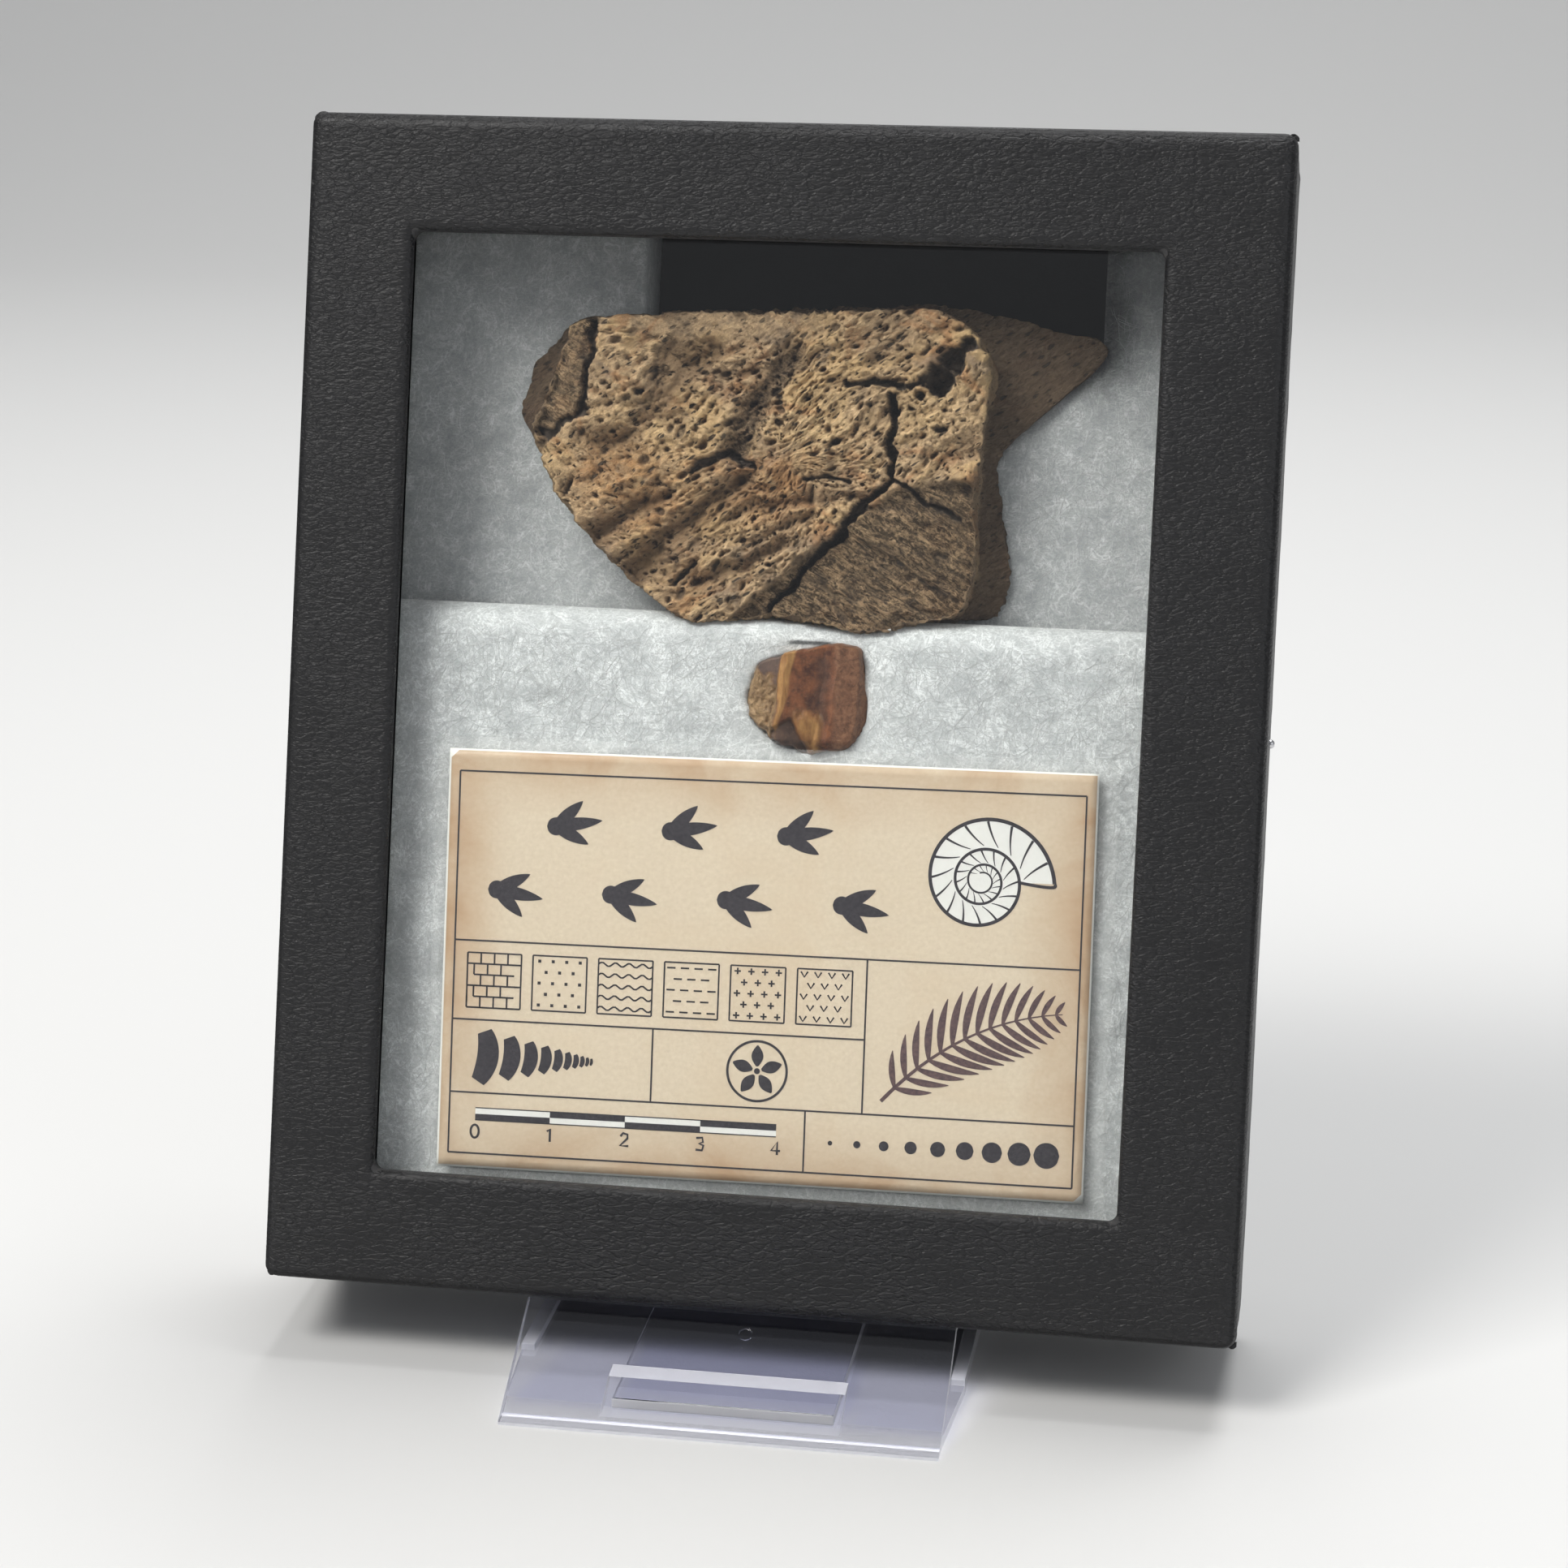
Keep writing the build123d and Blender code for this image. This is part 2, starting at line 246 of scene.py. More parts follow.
def calculate(tree, operation, first, second):
    """Arithmetic on two numbers, of which at least one varies over the surface."""
    return add_node(tree, "Math", {0: first, 1: second}, operation=operation).outputs[0]


def times(tree, first, second):
    """Two numbers multiplied."""
    return calculate(tree, "MULTIPLY", first, second)


def weighted(tree, value, weight, rest):
    """A value times its weight, added to the rest."""
    return add_node(tree, "Math", {0: value, 1: weight, 2: rest}, operation="MULTIPLY_ADD").outputs[0]


def relief(tree, shader, height, depth, strength):
    """Bump of a height from 0 to 1, as deep as the given millimetres."""
    bump = add_node(tree, "Bump", {"Height": height, "Strength": strength, "Distance": depth / MM})
    drive(shader, "Normal", bump.outputs[0])


print("texture helpers ready")

# %% [markdown]
# On the lid, thin grained sheet is glued over a board frame and turned in at the window. Cloth simulation
# could wrap it, but the sheet is stuck down flat, so a closed profile carried round the frame is enough:
# up the window's reveal, over its rounded edge, across the front, over the outer edge, down the skirt,
# and back on the inside. The board under it is not quite flat, so the covering dips a little here and
# there, and stays within a few hundredths of a millimetre of the CAD surface or inside it.

# %% Lid measures
FRAME_INSET, REVEAL_DROP, GLASS_GAP = 8.0, 1.5, 0.02
cover = spans("lid_board")[0][0] - lid_low[0]
half = (lid_high - lid_low)[:2] / 2
front, skirt_end = lid_high[2], lid_low[2]
reveal_end = spans("glass_pane")[1][2] + GLASS_GAP
lid_points = to_box(row_points("lid_cover"))
in_window = (np.abs(lid_points[:, :2]) < half - FRAME_INSET).all(1)
reveal = lid_points[in_window & (lid_points[:, 2] < front - REVEAL_DROP)]
window_low, window_high = reveal.min(0)[:2], reveal.max(0)[:2]
print(f"covering {cover:.2f} mm thick, window {window_high - window_low} mm")

# %% Rings round the lid
WINDOW_EDGE, OUTER_EDGE = 1.2, 2.0
WINDOW_CORNER, OUTER_CORNER, LEAST_CORNER = 0.35, 1.8, 0.25
STRAIGHT_POINTS, CORNER_POINTS = (96, 118), 7


def rounded_frame(low, high, radius):
    """Points round a rectangle with rounded corners, as many on every frame so that they pair up."""
    (x0, y0), (x1, y1) = low, high
    middles = ((x1 - radius, y1 - radius), (x0 + radius, y1 - radius),
               (x0 + radius, y0 + radius), (x1 - radius, y0 + radius))
    parts = []
    for k, (x, y) in enumerate(middles):
        angle = np.radians(np.linspace(90 * k, 90 * k + 90, CORNER_POINTS))
        arc = np.stack([x + radius * np.cos(angle), y + radius * np.sin(angle)], -1)
        following = np.array(middles[(k + 1) % 4]) + radius * np.array([np.cos(angle[-1]), np.sin(angle[-1])])
        share = np.linspace(0, 1, STRAIGHT_POINTS[k % 2] + 2)[1:-1, None]
        parts += [arc, arc[-1] * (1 - share) + following * share]
    return np.concatenate(parts)


def level_ring(ring, height):
    """Points of a flat ring at a height."""
    return np.concatenate([ring, np.full((len(ring), 1), height)], 1)


def outer_ring(inset, height):
    """The lid's outline drawn in by an inset, at a height."""
    radius = max(OUTER_CORNER - inset, LEAST_CORNER)
    return level_ring(rounded_frame(-half + inset, half - inset, radius), height)


def window_ring(outset, height):
    """The window's outline spread by an outset, at a height."""
    radius = WINDOW_CORNER + outset
    return level_ring(rounded_frame(window_low - outset, window_high + outset, radius), height)


print(f"{len(window_ring(0, front))} points round each ring")

# %% Lid covering
DIP = 0.05


def lid_profile():
    """Rings of the covering in order: reveal, window edge, front, outer edge, skirt, then the inside."""
    rings = [window_ring(0, h) for h in np.linspace(reveal_end, front - WINDOW_EDGE, 3)]
    for angle in np.radians(np.linspace(15, 75, 5)):
        outset, fall = WINDOW_EDGE * (1 - np.cos(angle)), WINDOW_EDGE * (1 - np.sin(angle))
        rings.append(window_ring(outset, front - fall))
    near, far = window_ring(WINDOW_EDGE, front), outer_ring(OUTER_EDGE, front)
    rings += [near * (1 - s) + far * s for s in np.linspace(0, 1, 24)]
    for angle in np.radians(np.linspace(80, 10, 8)):
        inset, fall = OUTER_EDGE * (1 - np.cos(angle)), OUTER_EDGE * (1 - np.sin(angle))
        rings.append(outer_ring(inset, front - fall))
    rings += [outer_ring(0, h) for h in np.linspace(front - OUTER_EDGE, skirt_end, 26)]
    outside = len(rings)
    rings += [outer_ring(cover, h) for h in np.linspace(skirt_end, front - cover, 5)]
    rings += [window_ring(cover, h) for h in np.linspace(front - cover, reveal_end, 3)]
    return np.stack(rings), outside


def dimpled(points, outside):
    """The outside drawn in by the dip, which three layers of noise make shallower or deeper."""
    moved = points.copy()
    x, y, z = points[:outside, :, 0], points[:outside, :, 1], points[:outside, :, 2]
    dip = DIP + DIP * layered(x / 9 + z / 11, y / 5 + z / 13, 21, 3)
    flat = step(front - 0.5, front - 0.05, z)
    side = step(front - OUTER_EDGE, front - 2 * OUTER_EDGE, z) * (np.hypot(x / half[0], y / half[1]) > 0.97)
    moved[:outside, :, 2] -= dip * flat
    moved[:outside, :, 0] -= np.sign(x) * dip * side * (np.abs(x) > half[0] - 0.1)
    moved[:outside, :, 1] -= np.sign(y) * dip * side * (np.abs(y) > half[1] - 0.1)
    return moved


lid_rings, outside_rings = lid_profile()
lid_rings = dimpled(lid_rings, outside_rings)
lid_skin = add_piece("lid_covering", lid_rings, lattice(*lid_rings.shape[:2], True, True)[:, ::-1], "lid",
                     "leatherette", ["lid_cover"])
print(f"{lid_skin.name}: {len(lid_skin.data.polygons)} faces")

# %% [markdown]
# Where the sheet is gathered at the lid's corners a tuck stands up a little: a folded ear at the upper
# left, and small pinched tips at the other corners. They could be pulled out of the covering's own mesh,
# but that would need many more points there, so each is a short tongue that curls over.

# %% Corner tucks
TUCK_SUNK, TUCK_THICK, CORNER_INSET = 0.2, np.array([0.0, -0.2, -0.05]), 0.25


def tuck(name, corner, length, width, curl, turn):
    """A tongue along the lid's edge at a corner. It rises with the sine of its share along, and curls
    over across its width by the given angle."""
    along, over = np.meshgrid(np.linspace(0, 1, 22), np.linspace(0, 1, 15), indexing="ij")
    angle = curl * over
    taper = np.sin(np.pi * (0.12 + 0.84 * along)) ** 0.6
    reach = width / curl * taper
    side, lift = reach * np.sin(angle), reach * (1 - np.cos(angle))
    sag = 0.06 * layered(along * 4, over * 4, 31, 2) * np.sin(np.pi * along)
    shape = np.stack([length * (along - 0.5), lift + sag, side - TUCK_SUNK], -1)
    layers = np.stack([shape, shape + TUCK_THICK], 0)
    x, up, z = np.moveaxis(layers, -1, 0)
    c, s = np.cos(turn), np.sin(turn)
    placed = np.stack([corner[0] + c * x - s * up, corner[1] + s * x + c * up, corner[2] + z], -1)
    ring = np.concatenate([placed[0], placed[1][:, ::-1]], 1)
    count, around = ring.shape[:2]
    ends = [np.arange(around)[::-1].tolist(), (np.arange(around) + (count - 1) * around).tolist()]
    return add_piece(name, ring, lattice(count, around, False, True).tolist() + ends, "lid", "leatherette")


corner_x, corner_y = half - CORNER_INSET
tucks = [
    tuck("corner_ear_upper_left", (-corner_x + 1.0, corner_y - 0.9, front - 3.0), 2.8, 1.9, 2.2, 0.0),
    tuck("corner_tip_upper_right", (corner_x - 0.4, corner_y - 0.35, front - 2.6), 1.3, 1.0, 1.6, 0.0),
    tuck("corner_tip_lower_left", (-corner_x + 0.4, -corner_y + 0.35, front - 2.6), 1.3, 1.0, 1.6, np.pi),
    tuck("corner_tip_lower_right", (corner_x - 0.4, -corner_y + 0.35, front - 2.6), 1.3, 1.0, 1.6, np.pi),
]
print("tucks:", ", ".join(t.name for t in tucks))

# %% [markdown]
# The covering is embossed to look like leather: a net of shallow creases, drawn out along the box's
# width, over a fine pebble. Modelled creases would take millions of faces, so the grain is bump from two
# nets of Voronoi cells whose edges noise bends. Creases are a little darker than the tops between them.

# %% Leatherette finish


def pulled(tree, place, scale, share):
    """A place shifted by a share of noise, so that what is drawn there loses its straight edges."""
    jitter = add_node(tree, "TexNoise", {"Vector": place, "Scale": scale, "Detail": 3.0}).outputs["Color"]
    shift = add_node(tree, "VectorMath", {0: jitter, "Scale": share}, operation="SCALE").outputs[0]
    return add_node(tree, "VectorMath", {0: place, 1: shift}, operation="ADD").outputs[0]


def creases(tree, stretch, width):
    """Thin creases round jittered cells: 0 on a cell's edge, 1 from a width inside it."""
    place = pulled(tree, box_place(tree, stretch), 1.1, 1.2)
    away = add_node(tree, "TexVoronoi", {"Vector": place, "Scale": 1.0},
                    feature="DISTANCE_TO_EDGE").outputs["Distance"]
    return add_node(tree, "MapRange", {"Value": away, "From Min": 0.0, "From Max": width},
                    interpolation_type="SMOOTHSTEP").outputs["Result"]


def leatherette():
    """Black embossed covering: creases round two sizes of wide cells, with fine noise for the pebble."""
    made, tree, shader = new_material("black_leatherette", {
        "IOR": 1.48, "Specular IOR Level": 0.45, "Coat Weight": 0.12, "Coat Roughness": 0.35})
    nets = [creases(tree, (0.46, 1.08, 0.8), 0.2), creases(tree, (0.95, 1.9, 1.4), 0.3)]
    patches = mottle(tree, box_place(tree, (0.1, 0.16, 0.1)), 1.0, 2.0)
    pebble = mottle(tree, box_place(tree, (2.4, 3.6, 2.8)), 1.0, 2.0)
    height = weighted(tree, pebble, 0.22, weighted(tree, nets[1], 0.45, nets[0]))
    height = times(tree, height, remap(tree, patches, 0.35, 0.65, 0.45, 1.0))
    tops = blend(tree, remap(tree, patches, 0.3, 0.7), (0.0085, 0.0085, 0.0095), (0.012, 0.012, 0.0135))
    drive(shader, "Base Color", blend(tree, nets[0], (0.007, 0.007, 0.008), tops))
    drive(shader, "Roughness", remap(tree, pebble, 0.3, 0.7, 0.42, 0.56))
    relief(tree, shader, height, 0.15, 0.8)
    return made


leather = leatherette()
for piece in [lid_skin, *tucks]:
    finish(piece, leather)
print(f"leatherette on {1 + len(tucks)} pieces")

# %% [markdown]
# Boards, strips and papers are plain flat stock, so they keep their CAD shapes. All are dyed black, each
# with its own fibre and wear. One formula with a few numbers serves for all of them, because they differ
# only in colour and in the way that their fibres run.

# %% Board and paper finishes


def dyed_paper(name, dark, light, fibre, roughness):
    """Matte dyed paper: long noise for its strands, and broad noise for uneven dye."""
    made, tree, shader = new_material(name, {"Specular IOR Level": 0.35})
    strands = mottle(tree, box_place(tree, fibre), 1.0, 5.0, 0.65)
    dye = mottle(tree, box_place(tree, (0.05, 0.05, 0.05)), 1.0, 3.0)
    tone = times(tree, remap(tree, strands, 0.3, 0.7), remap(tree, dye, 0.2, 0.8, 0.55, 1.0))
    drive(shader, "Base Color", blend(tree, tone, dark, light))
    drive(shader, "Roughness", remap(tree, strands, 0.3, 0.7, roughness, roughness + 0.15))
    relief(tree, shader, strands, 0.04, 0.6)
    return made


STRIPS = [f"glass_strip_{side}" for side in ("top", "bottom", "left", "right")]
# name, nodes, dark and light colour, fibre stretch and roughness
PAPERS = (
    ("lid_paperboard", ["lid_board"], (0.03, 0.03, 0.032), (0.075, 0.073, 0.072), (0.5, 2.5, 1.2), 0.75),
    ("tray_paperboard", ["tray_board"], (0.008, 0.008, 0.009), (0.02, 0.02, 0.021), (1.6, 2.6, 2.2), 0.78),
    ("tray_black_paper", ["tray_cover"], (0.016, 0.016, 0.018), (0.042, 0.042, 0.045), (1.6, 0.5, 1.6), 0.6),
    ("strip_card", STRIPS, (0.02, 0.02, 0.022), (0.05, 0.05, 0.053), (0.4, 0.4, 2.0), 0.7),
)
for name, dressed, *look in PAPERS:
    paper = dyed_paper(name, *look)
    for node in dressed:
        finish(nodes[node], paper)
print("dyed stock:", ", ".join(name for name, *_ in PAPERS))

# %% [markdown]
# Glass and clear plastic are seen by what they bend and reflect. A plain glass shader would keep lamp
# light out and leave the box dark inside, so shadow rays meet a see-through shader instead. The pane is
# clear with a faint green, and noise makes the gloss a little uneven, as dust does.

# %% Glass and clear plastic


def clear(name, tint, ior, haze, dust, coat=0.0, passes=1.0):
    """Clear stuff that bends what is seen through it and passes lamp light. Noise roughens it a little."""
    made, tree, shader = new_material(name, {
        "Base Color": (*tint, 1), "Transmission Weight": passes, "IOR": ior, "Coat Weight": coat})
    specks = mottle(tree, box_place(tree, dust), 1.0, 6.0, 0.7)
    drive(shader, "Roughness", remap(tree, specks, 0.45, 0.85, haze, haze + 0.1))
    through = add_node(tree, "BsdfTransparent", {"Color": (*tint, 1)})
    rays = add_node(tree, "LightPath").outputs["Is Shadow Ray"]
    mixed = add_node(tree, "MixShader", {0: rays, 1: shader.outputs[0], 2: through.outputs[0]})
    tree.links.new(mixed.outputs[0], tree.nodes["Material Output"].inputs["Surface"])
    return made


finish(nodes["glass_pane"], clear("window_glass", (0.97, 0.985, 0.98), 1.45, 0.0, (0.25, 0.25, 0.25)))
clear_plastic = clear("clear_plastic", (0.93, 0.935, 0.98), 1.25, 0.02, (0.12, 0.4, 0.2), 0.7)
print("glass pane and clear plastic")

# %% [markdown]
# The stand is two clear mouldings. Their CAD shapes are right, but real mouldings have softly broken
# edges, which catch the light. A bevel on every mesh edge would also cut across flat faces, so equal
# faces are merged first, and the bevel then runs along real edges only. Narrow faces, where light leaves
# the plastic, are a little hazier than the wide ones.

# %% Clear stand
LEAST_AREA, MOST_AREA, PLANE_STEP = 3, 200, 5
SAME_POINT, FLAT_DEGREES, SHARP_DEGREES = 1e-6, 0.6, 25
matt_edge = clear("clear_plastic_edge", (0.92, 0.925, 0.97), 1.25, 0.4, (0.1, 0.1, 0.1), 0.5, 0.45)


def narrow_faces(mesh):
    """Which faces lie in a plane that holds between the two areas, in square millimetres: the edges."""
    count = len(mesh.polygons)
    area, facing, middle = np.empty(count), np.empty(3 * count), np.empty(3 * count)
    for key, values in (("area", area), ("normal", facing), ("center", middle)):
        mesh.polygons.foreach_get(key, values)
    facing, middle = facing.reshape(-1, 3), middle.reshape(-1, 3)
    plane = np.concatenate([facing, np.sum(facing * middle, 1, keepdims=True) * MM / PLANE_STEP], 1).round(2)
    _, group = np.unique(plane, axis=0, return_inverse=True)
    held = np.bincount(group.ravel(), area * MM ** 2)[group.ravel()]
    return (held > LEAST_AREA) & (held < MOST_AREA)


def broken_edges(name, node, width):
    """A copy of a CAD node with merged flat faces and a small live bevel on its sharp edges."""
    mesh = nodes[node].data.copy()
    work = bmesh.new()
    work.from_mesh(mesh)
    bmesh.ops.remove_doubles(work, verts=work.verts, dist=SAME_POINT)
    flat = np.radians(FLAT_DEGREES)
    bmesh.ops.dissolve_limit(work, angle_limit=flat, verts=work.verts, edges=work.edges)
    bmesh.ops.recalc_face_normals(work, faces=work.faces)
    work.to_mesh(mesh)
    work.free()
    piece = bpy.data.objects.new(name, mesh)
    bpy.context.scene.collection.objects.link(piece)
    bevel = piece.modifiers.new("edge", "BEVEL")
    bevel.width, bevel.segments, bevel.limit_method = width / MM, 2, "ANGLE"
    bevel.angle_limit = np.radians(SHARP_DEGREES)
    mesh.shade_flat()
    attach(piece, node)
    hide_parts(node)
    finish(piece, clear_plastic)
    mesh.materials.append(matt_edge)
    mesh.polygons.foreach_set("material_index", narrow_faces(mesh).astype(np.int32))
    return piece


stand_pieces = [broken_edges("stand_front_moulding", "stand_front", 0.16),
                broken_edges("stand_back_moulding", "stand_back", 0.2)]
print("stand:", ", ".join(f"{p.name} {len(p.data.polygons)} faces" for p in stand_pieces))

# %% [markdown]
# The pins are drawn steel and keep their CAD shape. Drawing leaves fine marks round the shank, which are
# too small to model, so stretched noise varies their colour and gloss.

# %% Steel pins


def drawn_steel():
    """Bright metal with fine rings of wear across its length."""
    made, tree, shader = new_material("drawn_steel", {"Metallic": 1.0})
    marks = mottle(tree, box_place(tree, (14.0, 1.5, 1.5)), 1.0, 3.0)
    drive(shader, "Base Color", blend(tree, marks, (0.52, 0.52, 0.54), (0.78, 0.78, 0.79)))
    drive(shader, "Roughness", remap(tree, marks, 0.3, 0.7, 0.18, 0.34))
    return made


steel = drawn_steel()
for pin in ("pin_left", "pin_right"):
    finish(nodes[pin], steel)
print("two steel pins")

# %% [markdown]
# Bone and tooth are lofts in CAD. Sculpting them by hand would lose the body they stand for, so here a
# level plane cuts the CAD mesh, and the cut is read as reach along evenly turned spokes. The finer
# surface's front is a height over the outline, and its sides and back follow the loft, apart from the
# bone's tail and the edge of its face, which reach further out. A fan of triangles closes each end.

# %% Reading outlines from a loft
RUN_PARTS, BELL = 24, 3


def smoothed(values, width):
    """Values round a ring, averaged over a bell of the given number of steps."""
    away = np.arange(-3 * width, 3 * width + 1)
    bell = np.exp(-(away / width) ** 2 / 2)
    return np.stack([np.roll(values, k) for k in away], -1) @ (bell / bell.sum())


def outlines(node, spokes):
    """A node's span in z, its middle, the spokes' angles, and a function from a level to the reach there."""
    points, mesh = to_box(row_points(node)), nodes[node].data
    pairs = np.empty(2 * len(mesh.edges), np.int32)
    mesh.edges.foreach_get("vertices", pairs)
    ends = points[pairs.reshape(-1, 2)]
    middle = (points.min(0) + points.max(0))[:2] / 2
    angle = np.linspace(-np.pi, np.pi, spokes, endpoint=False)

    def reach_at(level):
        """Where mesh edges cross the level, joined by straight lines round the middle."""
        crossing = ends[(ends[:, 0, 2] - level) * (ends[:, 1, 2] - level) < 0]
        share = (level - crossing[:, 0, 2]) / (crossing[:, 1, 2] - crossing[:, 0, 2])
        ring = crossing[:, 0, :2] + share[:, None] * (crossing[:, 1, :2] - crossing[:, 0, :2]) - middle
        ring = ring[np.argsort(np.arctan2(ring[:, 1], ring[:, 0]))]
        part = np.linspace(0, 1, RUN_PARTS, endpoint=False)[:, None, None]
        dense = (ring * (1 - part) + np.roll(ring, -1, 0) * part).reshape(-1, 2)
        turn = np.arctan2(dense[:, 1], dense[:, 0])
        order = np.argsort(turn)
        return smoothed(np.interp(angle, turn[order], np.hypot(*dense[order].T), period=2 * np.pi), BELL)

    return (points[:, 2].min(), points[:, 2].max()), middle, angle, reach_at


print(f"outlines are averaged over {BELL} spokes")

# %% Outlines of bone and tooth
BONE_SPOKES, TOOTH_SPOKES = 540, 300
TAIL_TURN, TAIL_SPREAD, TAIL_LENGTH = 0.38, 0.14, 3.7
bone_z, bone_middle, bone_angle, loft_reach = outlines("bone_fragment", BONE_SPOKES)
tooth_z, tooth_middle, tooth_angle, tooth_reach = outlines("tooth", TOOTH_SPOKES)


def bone_reach(level):
    """The loft's reach, with the tail at the right drawn out as a bell round its turn. The tail belongs to
    the rear part and is gone where the cut face begins."""
    share = (level - bone_z[0]) / (bone_z[1] - bone_z[0])
    tail = TAIL_LENGTH * np.exp(-((bone_angle - TAIL_TURN) / TAIL_SPREAD) ** 2)
    return loft_reach(level) + tail * step(0.8, 0.5, share)


bone_widest = np.max([bone_reach(level) for level in np.linspace(bone_z[0] + 1, bone_z[1] - 5, 8)], 0)
tooth_widest = np.max([tooth_reach(level) for level in np.linspace(tooth_z[0] + 1, tooth_z[1] - 2, 6)], 0)
print(f"bone to {bone_widest.max():.1f} mm from its middle, tooth to {tooth_widest.max():.1f} mm")

# %% Closed surfaces round a middle


def inside_share(x, y, middle, angle, reach):
    """Distance from the middle as a share of the outline's reach in that direction."""
    turn = np.arctan2(y - middle[1], x - middle[0])
    return np.hypot(x - middle[0], y - middle[1]) / np.interp(turn, angle, reach, period=2 * np.pi)


def on_spokes(middle, angle, reach):
    """Places at a reach from the middle along each spoke."""
    return middle[0] + reach * np.cos(angle), middle[1] + reach * np.sin(angle)


def polar_rings(rings, middle, angle):
    """Rings of points, each from a reach round the spokes and a height round the spokes."""
    reach = np.stack([r for r, _ in rings])
    height = np.stack([np.broadcast_to(h, r.shape) for r, h in rings])
    return np.stack([*on_spokes(middle, angle, reach), height], -1)


def with_ends(rings):
    """Values on rings in one row, followed by the average of the first ring and of the last."""
    flat = rings.reshape(rings.shape[0] * rings.shape[1], *rings.shape[2:])
    return np.concatenate([flat, rings[[0, -1]].mean(1)])


def closed_faces(count, around):
    """Quads between rings, and a fan of triangles from the first and the last ring to their end points."""
    here = np.arange(around)
    after, last = (here + 1) % around, (count - 1) * around
    first_fan = np.stack([after, here, np.full(around, count * around)], -1)
    last_fan = np.stack([last + here, last + after, np.full(around, count * around + 1)], -1)
    return lattice(count, around, False, True).tolist() + first_fan.tolist() + last_fan.tolist()


def closed_piece(name, rings, slot, node, marks):
    """A closed surface of rings on the tray that stands for a node, with its marks on every point."""
    faces = closed_faces(*rings.shape[:2])
    return add_piece(name, with_ends(rings), faces, "tray", slot, [node],
                     **{label: with_ends(values) for label, values in marks.items()})


print("ring tools ready")

# %% [markdown]
# The bone's broken face carries what a bone shows: furrows between fibrous ridges that run up to the
# right, open pores, round vessel holes, a wide crack with its branches, a smooth channel, a step down to
# a flaky facet at the lower right, and a split-off facet at the left. Sculpting brushes could make it
# too, but a list says what each mark is and can be changed. So the main cracks, furrows and holes are
# short lists of places, as half width, depth and path, and everything finer is noise.

# %% Bone cracks, furrows and holes
# half width, depth and path
CRACKS = (
    (0.42, 2.8, ((13.1, 42.5), (13.7, 37.6), (13.6, 31.6), (12.3, 29.9), (9.1, 27.0), (7.0, 23.6),
                 (3.8, 20.7), (1.1, 17.2), (-1.5, 14.5))),
    (0.3, 1.2, ((13.6, 31.6), (17.9, 29.5), (20.7, 28.5), (22.5, 27.0))),
    (0.4, 1.5, ((7.2, 43.7), (10.5, 44.3), (14.4, 43.9), (17.4, 44.8))),
    (0.42, 1.4, ((-12.4, 32.3), (-8.0, 34.0), (-4.6, 33.1))),
    (0.4, 1.8, ((-26.1, 52.6), (-26.5, 47.8), (-27.3, 41.1), (-28.0, 39.5))),
    (0.5, 1.6, ((-36.0, 37.2), (-34.5, 36.7), (-31.9, 35.7), (-29.2, 38.3), (-27.2, 39.9))),
    (0.35, 1.2, ((-14.3, 17.1), (-12.8, 18.7), (-11.6, 20.2))),
    (0.3, 0.9, ((2.9, 31.7), (7.9, 31.3))),
)
# half width, depth and path
FURROWS = (
    (1.3, 2.1, ((-28.0, 20.4), (-25.7, 22.3), (-21.7, 25.8), (-19.3, 27.2), (-15.5, 28.8))),
    (1.4, 2.3, ((-20.5, 17.6), (-17.1, 22.0), (-14.1, 24.9), (-11.0, 27.5), (-8.0, 29.8), (-5.2, 31.1))),
    (1.1, 2.0, ((-11.2, 17.3), (-7.5, 19.0), (-4.4, 20.3), (0.2, 23.0))),
    (1.2, 1.6, ((-27.3, 35.3), (-22.2, 35.7), (-17.9, 38.4), (-14.7, 38.8))),
    (0.8, 1.2, ((-7.1, 26.4), (-4.1, 27.8), (3.1, 28.8), (5.9, 29.1), (10.2, 29.3))),
    (0.9, 1.5, ((-5.1, 22.5), (-0.8, 25.1), (3.2, 26.5))),
    (1.1, 1.4, ((-14.1, 45.6), (-10.1, 47.0), (-10.8, 48.5))),
)
# x, y and radius
HOLES = ((6.4, 36.3, 0.75), (19.7, 38.6, 0.7), (-20.4, 42.1, 0.62), (1.7, 41.3, 0.45), (-1.4, 42.0, 0.5),
         (10.3, 41.6, 0.4), (16.9, 42.5, 0.8), (19.2, 44.7, 1.9), (21.0, 47.0, 1.8), (22.4, 49.2, 1.3),
         (-24.4, 43.1, 0.45), (-15.6, 34.7, 0.4), (-18.5, 45.2, 0.5), (-12.1, 37.5, 0.35))


def path_distance(x, y, path):
    """Distance of each point to a line of straight stretches."""
    best = np.full(x.shape, 1e9)
    for (x0, y0), (x1, y1) in zip(path[:-1], path[1:]):
        dx, dy = x1 - x0, y1 - y0
        t = np.clip(((x - x0) * dx + (y - y0) * dy) / (dx * dx + dy * dy), 0, 1)
        best = np.minimum(best, np.hypot(x - x0 - t * dx, y - y0 - t * dy))
    return best


